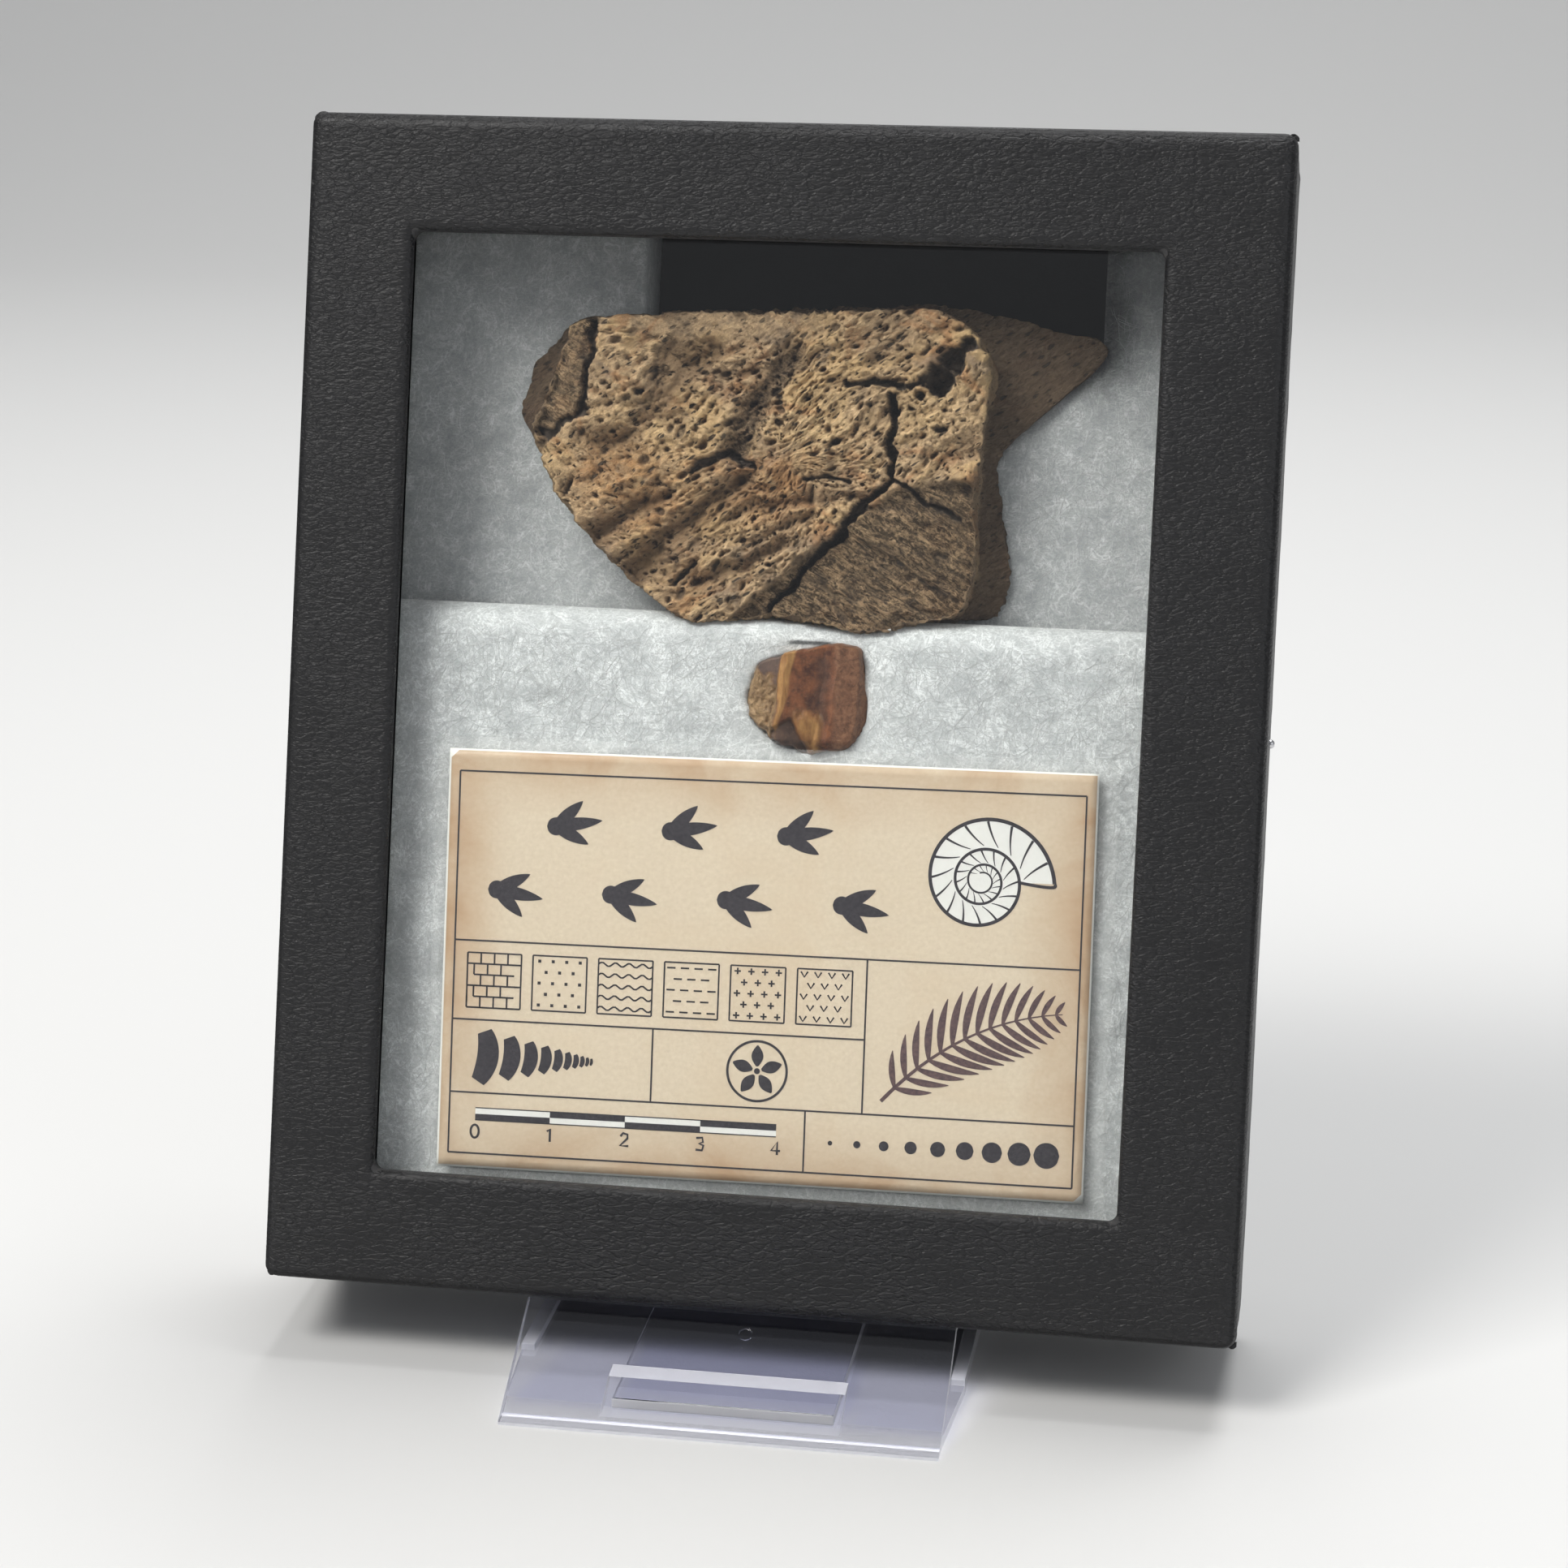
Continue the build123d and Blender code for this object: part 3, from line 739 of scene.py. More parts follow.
def bone_cuts(x, y):
    """Depth of cracks and vessel holes, depth of the soft furrows, and the raised rings round the holes."""
    bent_x = x + 0.5 * layered(x / 2.6, y / 2.6, 45, 4)
    bent_y = y + 0.5 * layered(x / 2.6, y / 2.6, 47, 4)
    ragged = layered(x / 1.1, y / 1.1, 95, 3)
    deep, soft, ring = np.zeros((3, *x.shape))
    for wide, depth, path in CRACKS:
        away = path_distance(bent_x, bent_y, path) / np.maximum(wide * (1 + 0.4 * ragged), 0.12)
        deep = np.maximum(deep, depth * step(1.45, 0.6, away))
    for wide, depth, path in FURROWS:
        away = path_distance(x + 0.9 * (bent_x - x), y + 0.9 * (bent_y - y), path) / wide
        soft = np.maximum(soft, depth * np.exp(-away ** 1.5))
    for hole_x, hole_y, radius in HOLES:
        away = np.hypot(bent_x - hole_x, 1.15 * (bent_y - hole_y)) / radius * (1 + 0.2 * ragged)
        deep = np.maximum(deep, 2.0 * radius * step(1.25, 0.6, away))
        ring += 0.25 * radius * np.exp(-((away - 1.6) / 0.4) ** 2)
    return deep, soft, ring


print(f"{len(CRACKS)} cracks, {len(FURROWS)} furrows and {len(HOLES)} holes")

# %% Bone pores and zones
# size, depth, rarity and seed
PORES = ((2.3, 1.1, 4.5, 71), (1.25, 0.6, 3.0, 75), (0.85, 0.4, 2.0, 79))


def cells(x, y, seed):
    """Distance to the nearest of a unit lattice's jittered points, and that point's own random number."""
    jitter_x, jitter_y, own = np.random.default_rng(seed).uniform(0, 1, (3, TABLE, TABLE))
    i, j = np.floor(x).astype(int), np.floor(y).astype(int)
    nearest, number = np.full(x.shape, 9.0), np.zeros(x.shape)
    for a, b in ((a, b) for a in (-1, 0, 1) for b in (-1, 0, 1)):
        p, q = (i + a) % TABLE, (j + b) % TABLE
        away = np.hypot(i + a + jitter_x[p, q] - x, j + b + jitter_y[p, q] - y)
        number = np.where(away < nearest, own[p, q], number)
        nearest = np.minimum(nearest, away)
    return nearest, number


def bone_pores(along, athwart):
    """Depth of open pores: pits about jittered points, each as wide as its own number says."""
    pores = np.zeros(along.shape)
    for size, depth, rarity, seed in PORES:
        away, own = cells(along / size, athwart / (0.6 * size), seed)
        pores = np.maximum(pores, depth * step(1.1, 0.5, away / (0.05 + 0.4 * own ** rarity)))
    return pores


def bone_zones(x, y):
    """Shares of the flaky facet at the lower right, the split-off facet at the left, the smooth top, and the
    raised block at the upper right. Each ends along a line that noise bends."""
    bent = layered(x / 4, y / 4, 43, 4)
    low_facet = step(-0.3, 0.5, 0.64 * (x - 13) - 0.77 * (y - 30.6) - 0.7 + 0.3 * bent)
    low_facet = low_facet * step(30.6, 29.4, y - 0.2 * (x - 14) + 0.4 * bent)
    left_facet = step(0.2, -0.3, x + 27.2 - 0.1 * (y - 42) + 0.2 * bent)
    left_facet = left_facet * step(-0.3, 0.3, y - 36.3 - 0.55 * (x + 33))
    top_band = step(48.4, 50.4, y + 0.02 * x + 0.9 * bent) * step(6, 2, x + bent)
    block = step(-0.3, 0.5, y - 44.6 + 0.4 * bent) * step(1.5, 4.0, x - 0.3 * (y - 45) + 0.5 * bent)
    return low_facet, left_facet, top_band, block


def facet_relief(x, y, bent):
    """On a facet whose grain runs down to the right: slaty ribs, the random numbers of small flakes and of
    wide plates, and the distance from a split across it."""
    down, over = 0.87 * x - 0.5 * y, 0.5 * x + 0.87 * y
    ribbed = step(-0.35, 0.15, layered(x / 5, y / 5, 95, 3))
    slate = 1.6 * ribbed * layered((down + bent) / 5, (over + bent) / 1.3, 91, 4)
    slate += 1.4 * np.abs(layered((down + bent) / 2.4, (over - bent) / 1.0, 93, 4))
    flake = cells((down + bent) / 2.3, (over + 0.7 * bent) / 0.95, 97)[1]
    plate = cells((down - bent) / 5.0, (over + bent) / 2.8, 99)[1]
    return slate, flake, plate, 0.5 * (x - 8.7) + 0.87 * (y - 24.7) + 0.3 * bent


print(f"pores of {len(PORES)} sizes, and four zones of the face")

# %% Bone relief
CHANNEL = ((0.3, 47.0), (-3.9, 41.9), (-5.9, 38.0), (-6.6, 34.6))
DEEPEST_FALL = 5.5


def bone_front(x, y):
    """Fall of the bone's face below its highest level, painted shade for its cracks, holes, pores and low
    furrows, and how flaky each place is.
    """
    low_facet, left_facet, top_band, block = bone_zones(x, y)
    deep, soft, ring = bone_cuts(x, y)
    spongy = (1 - low_facet) * (1 - left_facet) * (1 - 0.8 * top_band)
    bent = 1.2 * layered(x / 7, y / 7, 41, 3)
    along, athwart = 0.82 * x + 0.57 * y + bent, -0.57 * x + 0.82 * y + bent
    ridge = np.abs(layered(along / 13 + 3, athwart / 5, 51, 3))
    strand = np.abs(layered(along / 3.6, athwart / 1.2, 61, 4))
    strand = strand + 0.5 * np.abs(layered(along / 1.6, athwart / 0.7, 65, 3))
    pores = bone_pores(along, athwart)
    slate, flake, plate, from_split = facet_relief(x, y, bent)
    chips = (low_facet + left_facet) * (0.6 * plate + 0.7 * flake ** 2)
    split = step(0.25, -0.25, from_split)
    seam = step(0.5, 0.1, np.abs(from_split + 0.2)) * step(-0.3, 0.2, layered(x / 2, y / 2, 101, 3))
    channel = step(2.6, 0.3, path_distance(x + 0.6 * bent, y, CHANNEL))
    fall = 1.3 - 0.6 * layered(x / 15, y / 15, 81, 2) - 0.7 * block - ring
    fall += (spongy * (1.2 * ridge + 0.6 * strand + pores + soft) + (1 - spongy) * 0.26 * slate
             + 0.6 * chips + 1.6 * channel * spongy)
    fall += low_facet * (0.9 + 0.035 * np.maximum(x - 5, 0) + 0.7 * split)
    fall += left_facet * (0.7 + 0.12 * (-26 - x)) + 0.5 * top_band
    # Painted shade: the dark share darkens cracks, holes, pores, the channel, the facets' grooves and the
    # split's seam.
    dark = np.clip(deep / 1.1, 0, 1) + 0.6 * np.clip(pores, 0, 1) * spongy + 0.3 * channel
    dark = dark + (1 - spongy) * (0.45 * step(0.7, 1.6, slate) + 0.3 * step(0.72, 0.97, flake))
    dark = dark + 0.6 * low_facet * seam
    # The channel also takes the facets' grey, as painted shade.
    flaky = np.clip(low_facet + 0.9 * left_facet + 0.25 * top_band + 0.75 * channel, 0, 1)
    fall = np.clip(fall, 0, DEEPEST_FALL)
    # The third value, low, is painted shade for the low furrows.
    return fall + deep, np.clip(dark, 0, 1), step(1.7, 4.0, fall) * spongy, flaky


print(f"the face falls by up to {DEEPEST_FALL} mm, cracks and holes apart")

# %% Bone stains
# x, y and reach
RUST = ((-18.0, 28.0, 7.5), (-23.5, 32.5, 4.5), (-2.5, 29.5, 5.5), (-12.0, 18.0, 3.0))
GOLD = ((-17.0, 36.5, 6.5), (18.0, 41.0, 4.0), (-8.0, 25.5, 4.0), (-31.0, 33.0, 3.5), (4.0, 38.0, 5.0))


def bone_stain(x, y, spots):
    """Soft round patches of stain, each with its middle and its reach."""
    patches = (np.exp(-((x - a) ** 2 + 1.6 * (y - b) ** 2) / reach ** 2) for a, b, reach in spots)
    return np.clip(sum(patches), 0, 1)


print(f"{len(RUST)} patches of rust and {len(GOLD)} of gold")

# %% Bone surface
LEDGE, RISE, SHOULDER, FACE_LEVEL = 0.5, 0.09, 0.88, 0.3


def bone_side(level, height):
    """A ring at a height with the outline of a level, chipped inwards by noise round the side."""
    around = np.cos(bone_angle) * 9 + height / 3, np.sin(bone_angle) * 9 - height / 4
    chips = np.abs(layered(*around, 111, 5)) + 0.5 * np.abs(layered(around[0] * 3, around[1] * 3, 115, 3))
    return bone_reach(level) - 0.1 - 0.8 * chips, height + 0.3 * layered(around[0] * 2, around[1] * 2, 119, 3)


def bone_surface():
    """Rings from the middle of the back, up the rear sides, in over the rear's ledge, up the side of the cut
    face, and over its front to the middle."""
    (low, high), deep = bone_z, bone_z[1] - bone_z[0]
    ledge, rise, shoulder = low + LEDGE * deep, RISE * deep, low + SHOULDER * deep
    rings = [(bone_reach(low + 0.05) * s, low + 0.4 * (1 - s)) for s in np.linspace(0.02, 1, 6)]
    rings += [bone_side(height, height) for height in np.linspace(low, ledge, 12)[1:]]
    for t in np.linspace(0, 1, 28)[1:]:
        rings.append(bone_side(ledge + FACE_LEVEL * deep * t, ledge + rise * t ** 1.5))
    inner = ledge + FACE_LEVEL * deep
    for t in np.linspace(0, 1, 11)[1:]:
        rings.append(bone_side(inner, ledge + rise + (shoulder - ledge - rise) * t))
    rim, rim_height = rings[-1]
    sides = len(rings)
    for s in np.linspace(1, 0.006, 125)[1:]:
        face = high - bone_front(*on_spokes(bone_middle, bone_angle, rim * s))[0]
        turned = np.clip((s - 0.97) / 0.03, 0, 1) ** 2
        rings.append((rim * s, face * (1 - turned) + np.minimum(face, rim_height) * turned))
    return polar_rings(rings, bone_middle, bone_angle), sides, (ledge + 1.7 * rise, ledge + 0.8 * rise)


bone_points, bone_sides, bone_ledge = bone_surface()
bone_x, bone_y, bone_height = np.moveaxis(bone_points, -1, 0)
_, bone_recess_shade, bone_furrow_shade, bone_flaky = bone_front(bone_x, bone_y)
on_front = (np.arange(len(bone_points)) >= bone_sides)[:, None]
bone = closed_piece("bone_fragment_surface", bone_points, "bone", "bone_fragment", {
    # Painted shade: dark darkens the recesses, and low darkens the furrows and the whole side wall.
    "dark": bone_recess_shade * on_front,
    "low": np.where(on_front, bone_furrow_shade, 0.3),
    "grey": bone_flaky * on_front,
    # Painted shade: the rear's darker brown is deepened, and the side wall darkened, as if in shadow.
    "rear": np.maximum(step(*bone_ledge, bone_height), 0.55 * ~on_front),
    "rust": bone_stain(bone_x, bone_y, RUST),
    "gold": bone_stain(bone_x, bone_y, GOLD),
})
print(f"{bone.name}: {2 * len(bone.data.polygons)} triangles")

# %% [markdown]
# Bone is pale tan fibres over a browner ground, with yellow, rust and ash stains, and brown flakes on its
# facets with painted shadow between them. Its pores, cracks, holes and low furrows carry painted shade,
# nearly black in the deepest, and the rear part is a darker brown deepened by painted shade. Colour that was
# painted apart from the shape would miss its pores, so numbers stored on the mesh's points place the broad
# changes.
# Pores too small for the mesh are cells of a Voronoi texture, each with its own size, that colour and bump
# share.

# %% Bone textures
# stretch, low, high, most and colour
STAINS = (((0.1, 0.1, 0.1), 0.48, 0.64, 0.55, (0.74, 0.49, 0.225)),
          ((0.13, 0.18, 0.1), 0.52, 0.62, 0.6, (0.47, 0.215, 0.085)),
          ((0.2, 0.24, 0.2), 0.53, 0.66, 0.6, (0.26, 0.19, 0.138)))
# mark, dark and light colour
PATCHES = (("gold", (0.34, 0.21, 0.095), (0.92, 0.66, 0.35)),
           ("rust", (0.22, 0.088, 0.034), (0.74, 0.41, 0.17)))


def grained(tree, turn, stretch):
    """Place turned in the plane of the box, and the same place stretched along the turned directions."""
    turned = add_node(tree, "Mapping", {"Vector": box_place(tree), "Rotation": (0, 0, turn)}).outputs[0]
    return turned, add_node(tree, "Mapping", {"Vector": turned, "Scale": stretch}).outputs[0]


def bone_pits(tree, place):
    """Round pits about jittered points: 1 within a radius that each cell's random colour gives."""
    cell = add_node(tree, "TexVoronoi", {"Vector": pulled(tree, place, 1.1, 0.9), "Scale": 1.05})
    own = add_node(tree, "SeparateColor", {"Color": cell.outputs["Color"]}).outputs[0]
    beyond = calculate(tree, "SUBTRACT", cell.outputs["Distance"], remap(tree, own, 0.3, 1.0, 0.0, 0.4))
    return remap(tree, beyond, 0.04, -0.1)


def bone_tan(tree, strands):
    """Tan by strands, stained where three broad noises are high and in the patches stored on the mesh."""
    tan = blend(tree, remap(tree, strands, 0.3, 0.66), (0.2, 0.116, 0.06), (0.9, 0.635, 0.375))
    for stretch, low, high, most, colour in STAINS:
        broad = mottle(tree, box_place(tree, stretch), 1.0, 5.0, 0.6, 0.8)
        tan = blend(tree, remap(tree, broad, low, high, 0.0, most), tan, colour)
    ragged = mottle(tree, box_place(tree, (0.5, 0.8, 0.5)), 1.0, 6.0, 0.7, 0.6)
    for name, dark, light in PATCHES:
        patch = times(tree, mark(tree, name), remap(tree, ragged, 0.36, 0.58, 0.05, 0.85))
        tan = blend(tree, patch, tan, blend(tree, remap(tree, strands, 0.34, 0.62), dark, light))
    return tan


def bone_flakes(tree, crumbs):
    """Colour and flakes of a broken facet: noise drawn out along the flakes, with painted shadow between them
    and pale on them, with broad dark patches."""
    _, long = grained(tree, 0.52, (0.42, 1.4, 1.0))
    flakes = mottle(tree, long, 1.1, 9.0, 0.76, 1.1)
    tone = weighted(tree, crumbs, 0.3, times(tree, flakes, 0.7))
    flake_tone_and_shadow = blend(tree, remap(tree, tone, 0.45, 0.57), (0.024, 0.015, 0.009), (0.54, 0.36, 0.205))
    patch = mottle(tree, box_place(tree, (0.3, 0.38, 0.3)), 1.0, 5.0, 0.65, 0.6)
    return blend(tree, remap(tree, patch, 0.44, 0.62, 0.0, 0.55), flake_tone_and_shadow, (0.075, 0.048, 0.028)), flakes


print(f"bone stained by {len(STAINS)} noises and {len(PATCHES)} marks")

# %% Bone finish


def old_bone():
    """Tan bone. Stretched noise gives strands, and cells the pits, painted dark as their shade. Stored marks
    place painted shade in the cavities and the furrows, the flaky facets, and the rear with its painted
    shade."""
    made, tree, shader = new_material("old_bone", {"Specular IOR Level": 0.25, "Roughness": 0.85})
    turned, long = grained(tree, -0.61, (0.55, 1.5, 1.0))
    strands, crumbs = mottle(tree, long, 1.4, 8.0, 0.72, 0.9), mottle(tree, turned, 2.6, 5.0, 0.7, 0.5)
    flaky, rear, shades = mark(tree, "grey"), mark(tree, "rear"), remap(tree, strands, 0.35, 0.65)
    tan = bone_tan(tree, weighted(tree, crumbs, 0.35, times(tree, strands, 0.65)))
    # Painted shade: a brown darkening of the low furrows and of the side wall.
    tan = blend(tree, times(tree, mark(tree, "low"), 0.75), tan, (0.15, 0.09, 0.05))
    flake_tone_and_shadow, flakes = bone_flakes(tree, crumbs)
    tan = blend(tree, times(tree, flaky, 0.92), tan, flake_tone_and_shadow)
    # Painted shade: the rear part and the side wall darken towards this brown, as if in shadow.
    back = blend(tree, shades, (0.03, 0.02, 0.014), (0.17, 0.114, 0.075))
    tan = blend(tree, times(tree, rear, 0.9), tan, back)
    # Painted shade: pits darken to near black, and the dark mark darkens cracks, holes and pores.
    pit_shade_and_depth = times(tree, bone_pits(tree, long), remap(tree, flaky, 0.0, 0.6, 1.0, 0.5))
    tan = blend(tree, times(tree, pit_shade_and_depth, 0.9), tan, (0.05, 0.036, 0.027))
    cracks = blend(tree, shades, (0.038, 0.03, 0.025), (0.08, 0.063, 0.053))
    tan = blend(tree, remap(tree, mark(tree, "dark"), 0.1, 0.9, 0.0, 0.94), tan, cracks)
    drive(shader, "Base Color", tan)
    height = weighted(tree, pit_shade_and_depth, -0.8, weighted(tree, crumbs, 0.5, strands))
    height = weighted(tree, times(tree, flakes, flaky), 1.3, height)
    relief(tree, shader, height, 0.55, 0.9)
    return made


finish(bone, old_bone())
print("bone finish set")

# %% [markdown]
# The tooth's worn crown has an upright crest, a hollow beside it, a flat right flank, a small tongue at
# its foot, and a rough broken root at the left. A mesh for each would leave seams, so it is one surface.
# Where each part lies is a few numbers across the tooth, which change with the height up it, and the same
# numbers place the colours.

# %% Parts of the tooth
CREST_UP, CREST_SIDE = (-6, -3.8, -1.8, 1.6, 5.8), (-3.6, -3.4, -2.95, -2.75, -2.3)
WIDTH_UP, CREST_WIDTH = (-4.4, -3.8, -1.8, 1.6, 5.8), (0.0, 0.3, 0.4, 0.85, 1.05)
TONGUE_UP, TONGUE_LEFT = (-6.5, -2.2), (0.5, -1.7)


def tooth_places(x, y):
    """Place across the tooth with bent sides, height up it, and place across from the crest's middle line."""
    up = y - tooth_middle[1]
    side = x - tooth_middle[0] + 0.22 * layered(x / 3, y / 3, 123, 3)
    return side, up, side - np.interp(up, CREST_UP, CREST_SIDE)


def tooth_marks(x, y):
    """Shares of crest, hollow, tongue, dark foot, root, left panel, left rim and right flank."""
    side, up, from_crest = tooth_places(x, y)
    rough = layered(x / 1.5, y / 1.5, 127, 3)
    half_crest = np.interp(up, WIDTH_UP, CREST_WIDTH)
    tongue_left = np.interp(up, TONGUE_UP, TONGUE_LEFT)
    tongue = step(-0.9, -3.3, up + 0.5 * rough) * step(-0.3, 0.9, side - tongue_left) * step(2.6, 1.5, side)
    left = step(-half_crest + 0.1, -half_crest - 0.2, from_crest)
    root = left * step(3.1, 1.9, up + 0.9 * rough) * step(-3.3, -3.9, side)
    foot = step(0.2, -0.4, up + 3.9 - 0.68 * (side + 3.7)) * step(-4.3, -3.9, side)
    foot = foot * step(0.2, -0.3, side - tongue_left)
    hollow = np.exp(-((side - 2.3) / 1.0) ** 2) * step(-4.5, -1.0, up) * step(6.5, 4.5, up)
    return {"crest": step(half_crest + 0.15, half_crest - 0.2, np.abs(from_crest)), "tongue": tongue,
            "foot": foot, "hollow": hollow, "root": root, "panel": left * (1 - root),
            "rim": step(-6.3, -6.9, side + 0.2 * rough), "flank": step(3.3, 4.1, side)}


print("the tooth has a crest, tongue, foot, hollow, root, panel, rim and flank")

# %% Tooth surface
CROWN_SIDE = (-5.6, -4.2, -1.15, -0.8, 0.0, 0.8, 4.9, 6.5, 9.6, 11.2)
CROWN_HEIGHT = (-4.4, -2.2, -1.5, -0.4, -0.1, -0.4, -2.1, -1.15, -2.1, -4.4)
CROWN_DEPTH, ROUNDED_FROM, ROUNDED_SPAN = 4.2, 0.93, 0.07


def tooth_front(x, y):
    """Height of the crown below its top: straight slopes across it, less the steps of root and foot, and
    with the tongue on it."""
    _, up, from_crest = tooth_places(x, y)
    marks = tooth_marks(x, y)
    height = np.interp(from_crest, CROWN_SIDE, CROWN_HEIGHT) + 0.07 * layered(x / 0.9, y / 3, 121, 3)
    height += 0.8 * marks["tongue"] - 0.7 * marks["foot"]
    height -= marks["root"] * 0.45 * np.abs(layered(x / 1.3, y / 1.3, 131, 4))
    return np.minimum(height - 1.0 * step(-5.2, -7.0, up), 0)


def tooth_surface():
    """Rings from the middle of the back, up the sides, and over the crown."""
    low, high = tooth_z
    rings = [(tooth_reach(low + 0.05) * s, low + 0.2 * (1 - s)) for s in np.linspace(0.03, 1, 8)]
    shoulder = high - CROWN_DEPTH
    for height in np.linspace(low, shoulder, 16)[1:]:
        swell = step(low, low + 2.5, height)
        reach = tooth_reach(low + 0.05) * (1 - swell) + (tooth_widest - 0.05) * swell
        chips = np.abs(layered(np.cos(tooth_angle) * 4, np.sin(tooth_angle) * 4 + height / 2, 141, 4))
        rings.append((reach - 0.3 * chips, height))
    rim = rings[-1][0]
    for s in np.linspace(1, 0.01, 100)[1:]:
        turned = np.clip((s - ROUNDED_FROM) / ROUNDED_SPAN, 0, 1)
        rise = high + tooth_front(*on_spokes(tooth_middle, tooth_angle, rim * s)) - shoulder
        rings.append((rim * s, shoulder + rise * np.sqrt(1 - 0.999 * turned ** 2)))
    return polar_rings(rings, tooth_middle, tooth_angle)


tooth_points = tooth_surface()
tooth = closed_piece("tooth_surface", tooth_points, "tooth_enamel", "tooth",
                     tooth_marks(tooth_points[..., 0], tooth_points[..., 1]))
print(f"{tooth.name}: {2 * len(tooth.data.polygons)} triangles")

# %% [markdown]
# Enamel and dentine are red-brown with upright streaks, an amber crest and tongue, a dark hollow and
# foot, a dark panel with a tan rim at the left, and a speckled root. Separate materials would meet in
# hard lines, so one material mixes in a pair of colours for each stored mark.

# %% Tooth finish


def enamel():
    """Stained enamel. Upright noise streaks it, and each mark brings a darker and a lighter colour."""
    made, tree, shader = new_material("stained_enamel", {"Specular IOR Level": 0.25, "Coat Weight": 0.04})
    streaks = mottle(tree, box_place(tree, (1.3, 0.45, 1.0)), 1.0, 6.0, 0.65, 0.5)
    blotch = mottle(tree, box_place(tree), 0.6, 5.0, 0.65)
    specks = mottle(tree, box_place(tree), 2.6, 4.0, 0.7)
    grains = mottle(tree, box_place(tree), 1.2, 6.0, 0.75, 0.6)
    body = blend(tree, remap(tree, blotch, 0.36, 0.64), (0.06, 0.019, 0.009), (0.23, 0.082, 0.031))
    inlays = (("flank", 0.9, grains, (0.085, 0.033, 0.017), (0.27, 0.132, 0.07)),
              ("hollow", 0.8, blotch, (0.045, 0.022, 0.015), (0.1, 0.05, 0.033)),
              ("panel", 0.95, blotch, (0.06, 0.038, 0.034), (0.125, 0.083, 0.066)),
              ("rim", 0.8, blotch, (0.2, 0.12, 0.06), (0.38, 0.25, 0.12)),
              ("root", 0.95, grains, (0.12, 0.066, 0.03), (0.38, 0.25, 0.13)),
              ("foot", 0.9, blotch, (0.05, 0.03, 0.025), (0.12, 0.075, 0.055)),
              ("tongue", 0.85, streaks, (0.2, 0.085, 0.024), (0.42, 0.225, 0.072)),
              ("crest", 0.9, streaks, (0.24, 0.11, 0.034), (0.46, 0.25, 0.085)))
    for name, share, pattern, dark, light in inlays:
        inlay = blend(tree, remap(tree, pattern, 0.34, 0.66), dark, light)
        body = blend(tree, times(tree, mark(tree, name), share), body, inlay)
    body = blend(tree, remap(tree, specks, 0.6, 0.72, 0.0, 0.3), body, (0.46, 0.28, 0.16))
    drive(shader, "Base Color", body)
    drive(shader, "Roughness", remap(tree, blotch, 0.3, 0.7, 0.38, 0.6))
    relief(tree, shader, calculate(tree, "ADD", streaks, specks), 0.14, 0.6)
    return made


finish(tooth, enamel())
print("tooth finish set")

# %% [markdown]
# The batting is two pads of loose fibre fill. Cloth simulation suits sewn cushions, but nothing here is
# sewn, so each pad is a height over a flat foot, with a low crown and lumps of noise. Pads give way where
# bone and tooth press in. The back pad ends at the pocket cut for the bone, where its loose fill has
# crept in over the right edge, and the front pad rolls over at its step.

# %% Pocket and pads
FILL_CREEP, NEAR_HEAD = 6.5, 0.5
back_low, back_high = spans("batting_back")
pad_low, pad_high = spans("batting_front")
back_points = to_box(row_points("batting_back"))
upper = back_points[back_points[:, 1] > back_high[1] - NEAR_HEAD]
pocket_x = np.sort(np.unique(np.round(upper[:, 0], 1)))[1:-1]
pocket_left, pocket_right = pocket_x[pocket_x < 0].max(), pocket_x[pocket_x > 0].min() - FILL_CREEP
pocket_foot = float(np.min(back_points[(np.abs(back_points[:, 0] - pocket_left) < 0.2)][:, 1]))
print(f"pocket from {pocket_left} to {pocket_right} above {pocket_foot:.1f} mm")

# %% Slabs with cells left out


def cut_slab(x, y, top, bottom, kept):
    """Points and quads of a slab over a lattice: lids and floors on the kept cells, and a wall wherever a
    kept cell meets one that isn't."""
    rows, columns = len(y), len(x)
    flat_x, flat_y = np.meshgrid(x, y)
    points = np.concatenate([np.stack([flat_x, flat_y, top], -1).reshape(-1, 3),
                             np.stack([flat_x, flat_y, np.full_like(top, bottom)], -1).reshape(-1, 3)])
    under = rows * columns
    quads = lattice(rows, columns)[kept.ravel()]
    ringed = np.pad(kept, 1).astype(int)
    number = np.arange(under).reshape(rows, columns)
    faces = [quads, quads[:, ::-1] + under]
    for axis, ends in ((0, (number[:, :-1], number[:, 1:])), (1, (number[1:, :], number[:-1, :]))):
        change = np.diff(ringed[:, 1:-1] if axis == 0 else ringed[1:-1, :], axis=axis)
        for sign in (1, -1):
            first, second = (end[change == sign] for end in (ends if sign > 0 else ends[::-1]))
            faces.append(np.stack([second, first, first + under, second + under], -1))
    faces = np.concatenate(faces)
    used, order = np.unique(faces, return_inverse=True)
    return points[used], order.reshape(-1, 4)


print("slab tool ready")

# %% Height of the pads
SIDE_FALL, SIDE_WIDTH, LEAST_FILL = 1.5, 3.0, 0.2
LUMP_ROOM, PAD_CROWN, TOOTH_SINK, HOLLOW_FLOOR = 0.4, 0.8, 0.7, 0.8
SLIT_X, SLIT_Y = 4.2, 10.2


def press(x, y, height, bottom):
    """Height that sinks towards the tooth, and drops to the bottom inside the outlines of bone and tooth."""
    in_bone = inside_share(x, y, bone_middle, bone_angle, bone_widest)
    in_tooth = inside_share(x, y, tooth_middle, tooth_angle, tooth_widest)
    under = np.maximum(step(0.97, 0.9, in_bone), step(0.955, 0.86, in_tooth))
    sunk = height - TOOTH_SINK * step(1.8, 0.95, in_tooth)
    return sunk * (1 - under) + (bottom + HOLLOW_FLOOR) * under


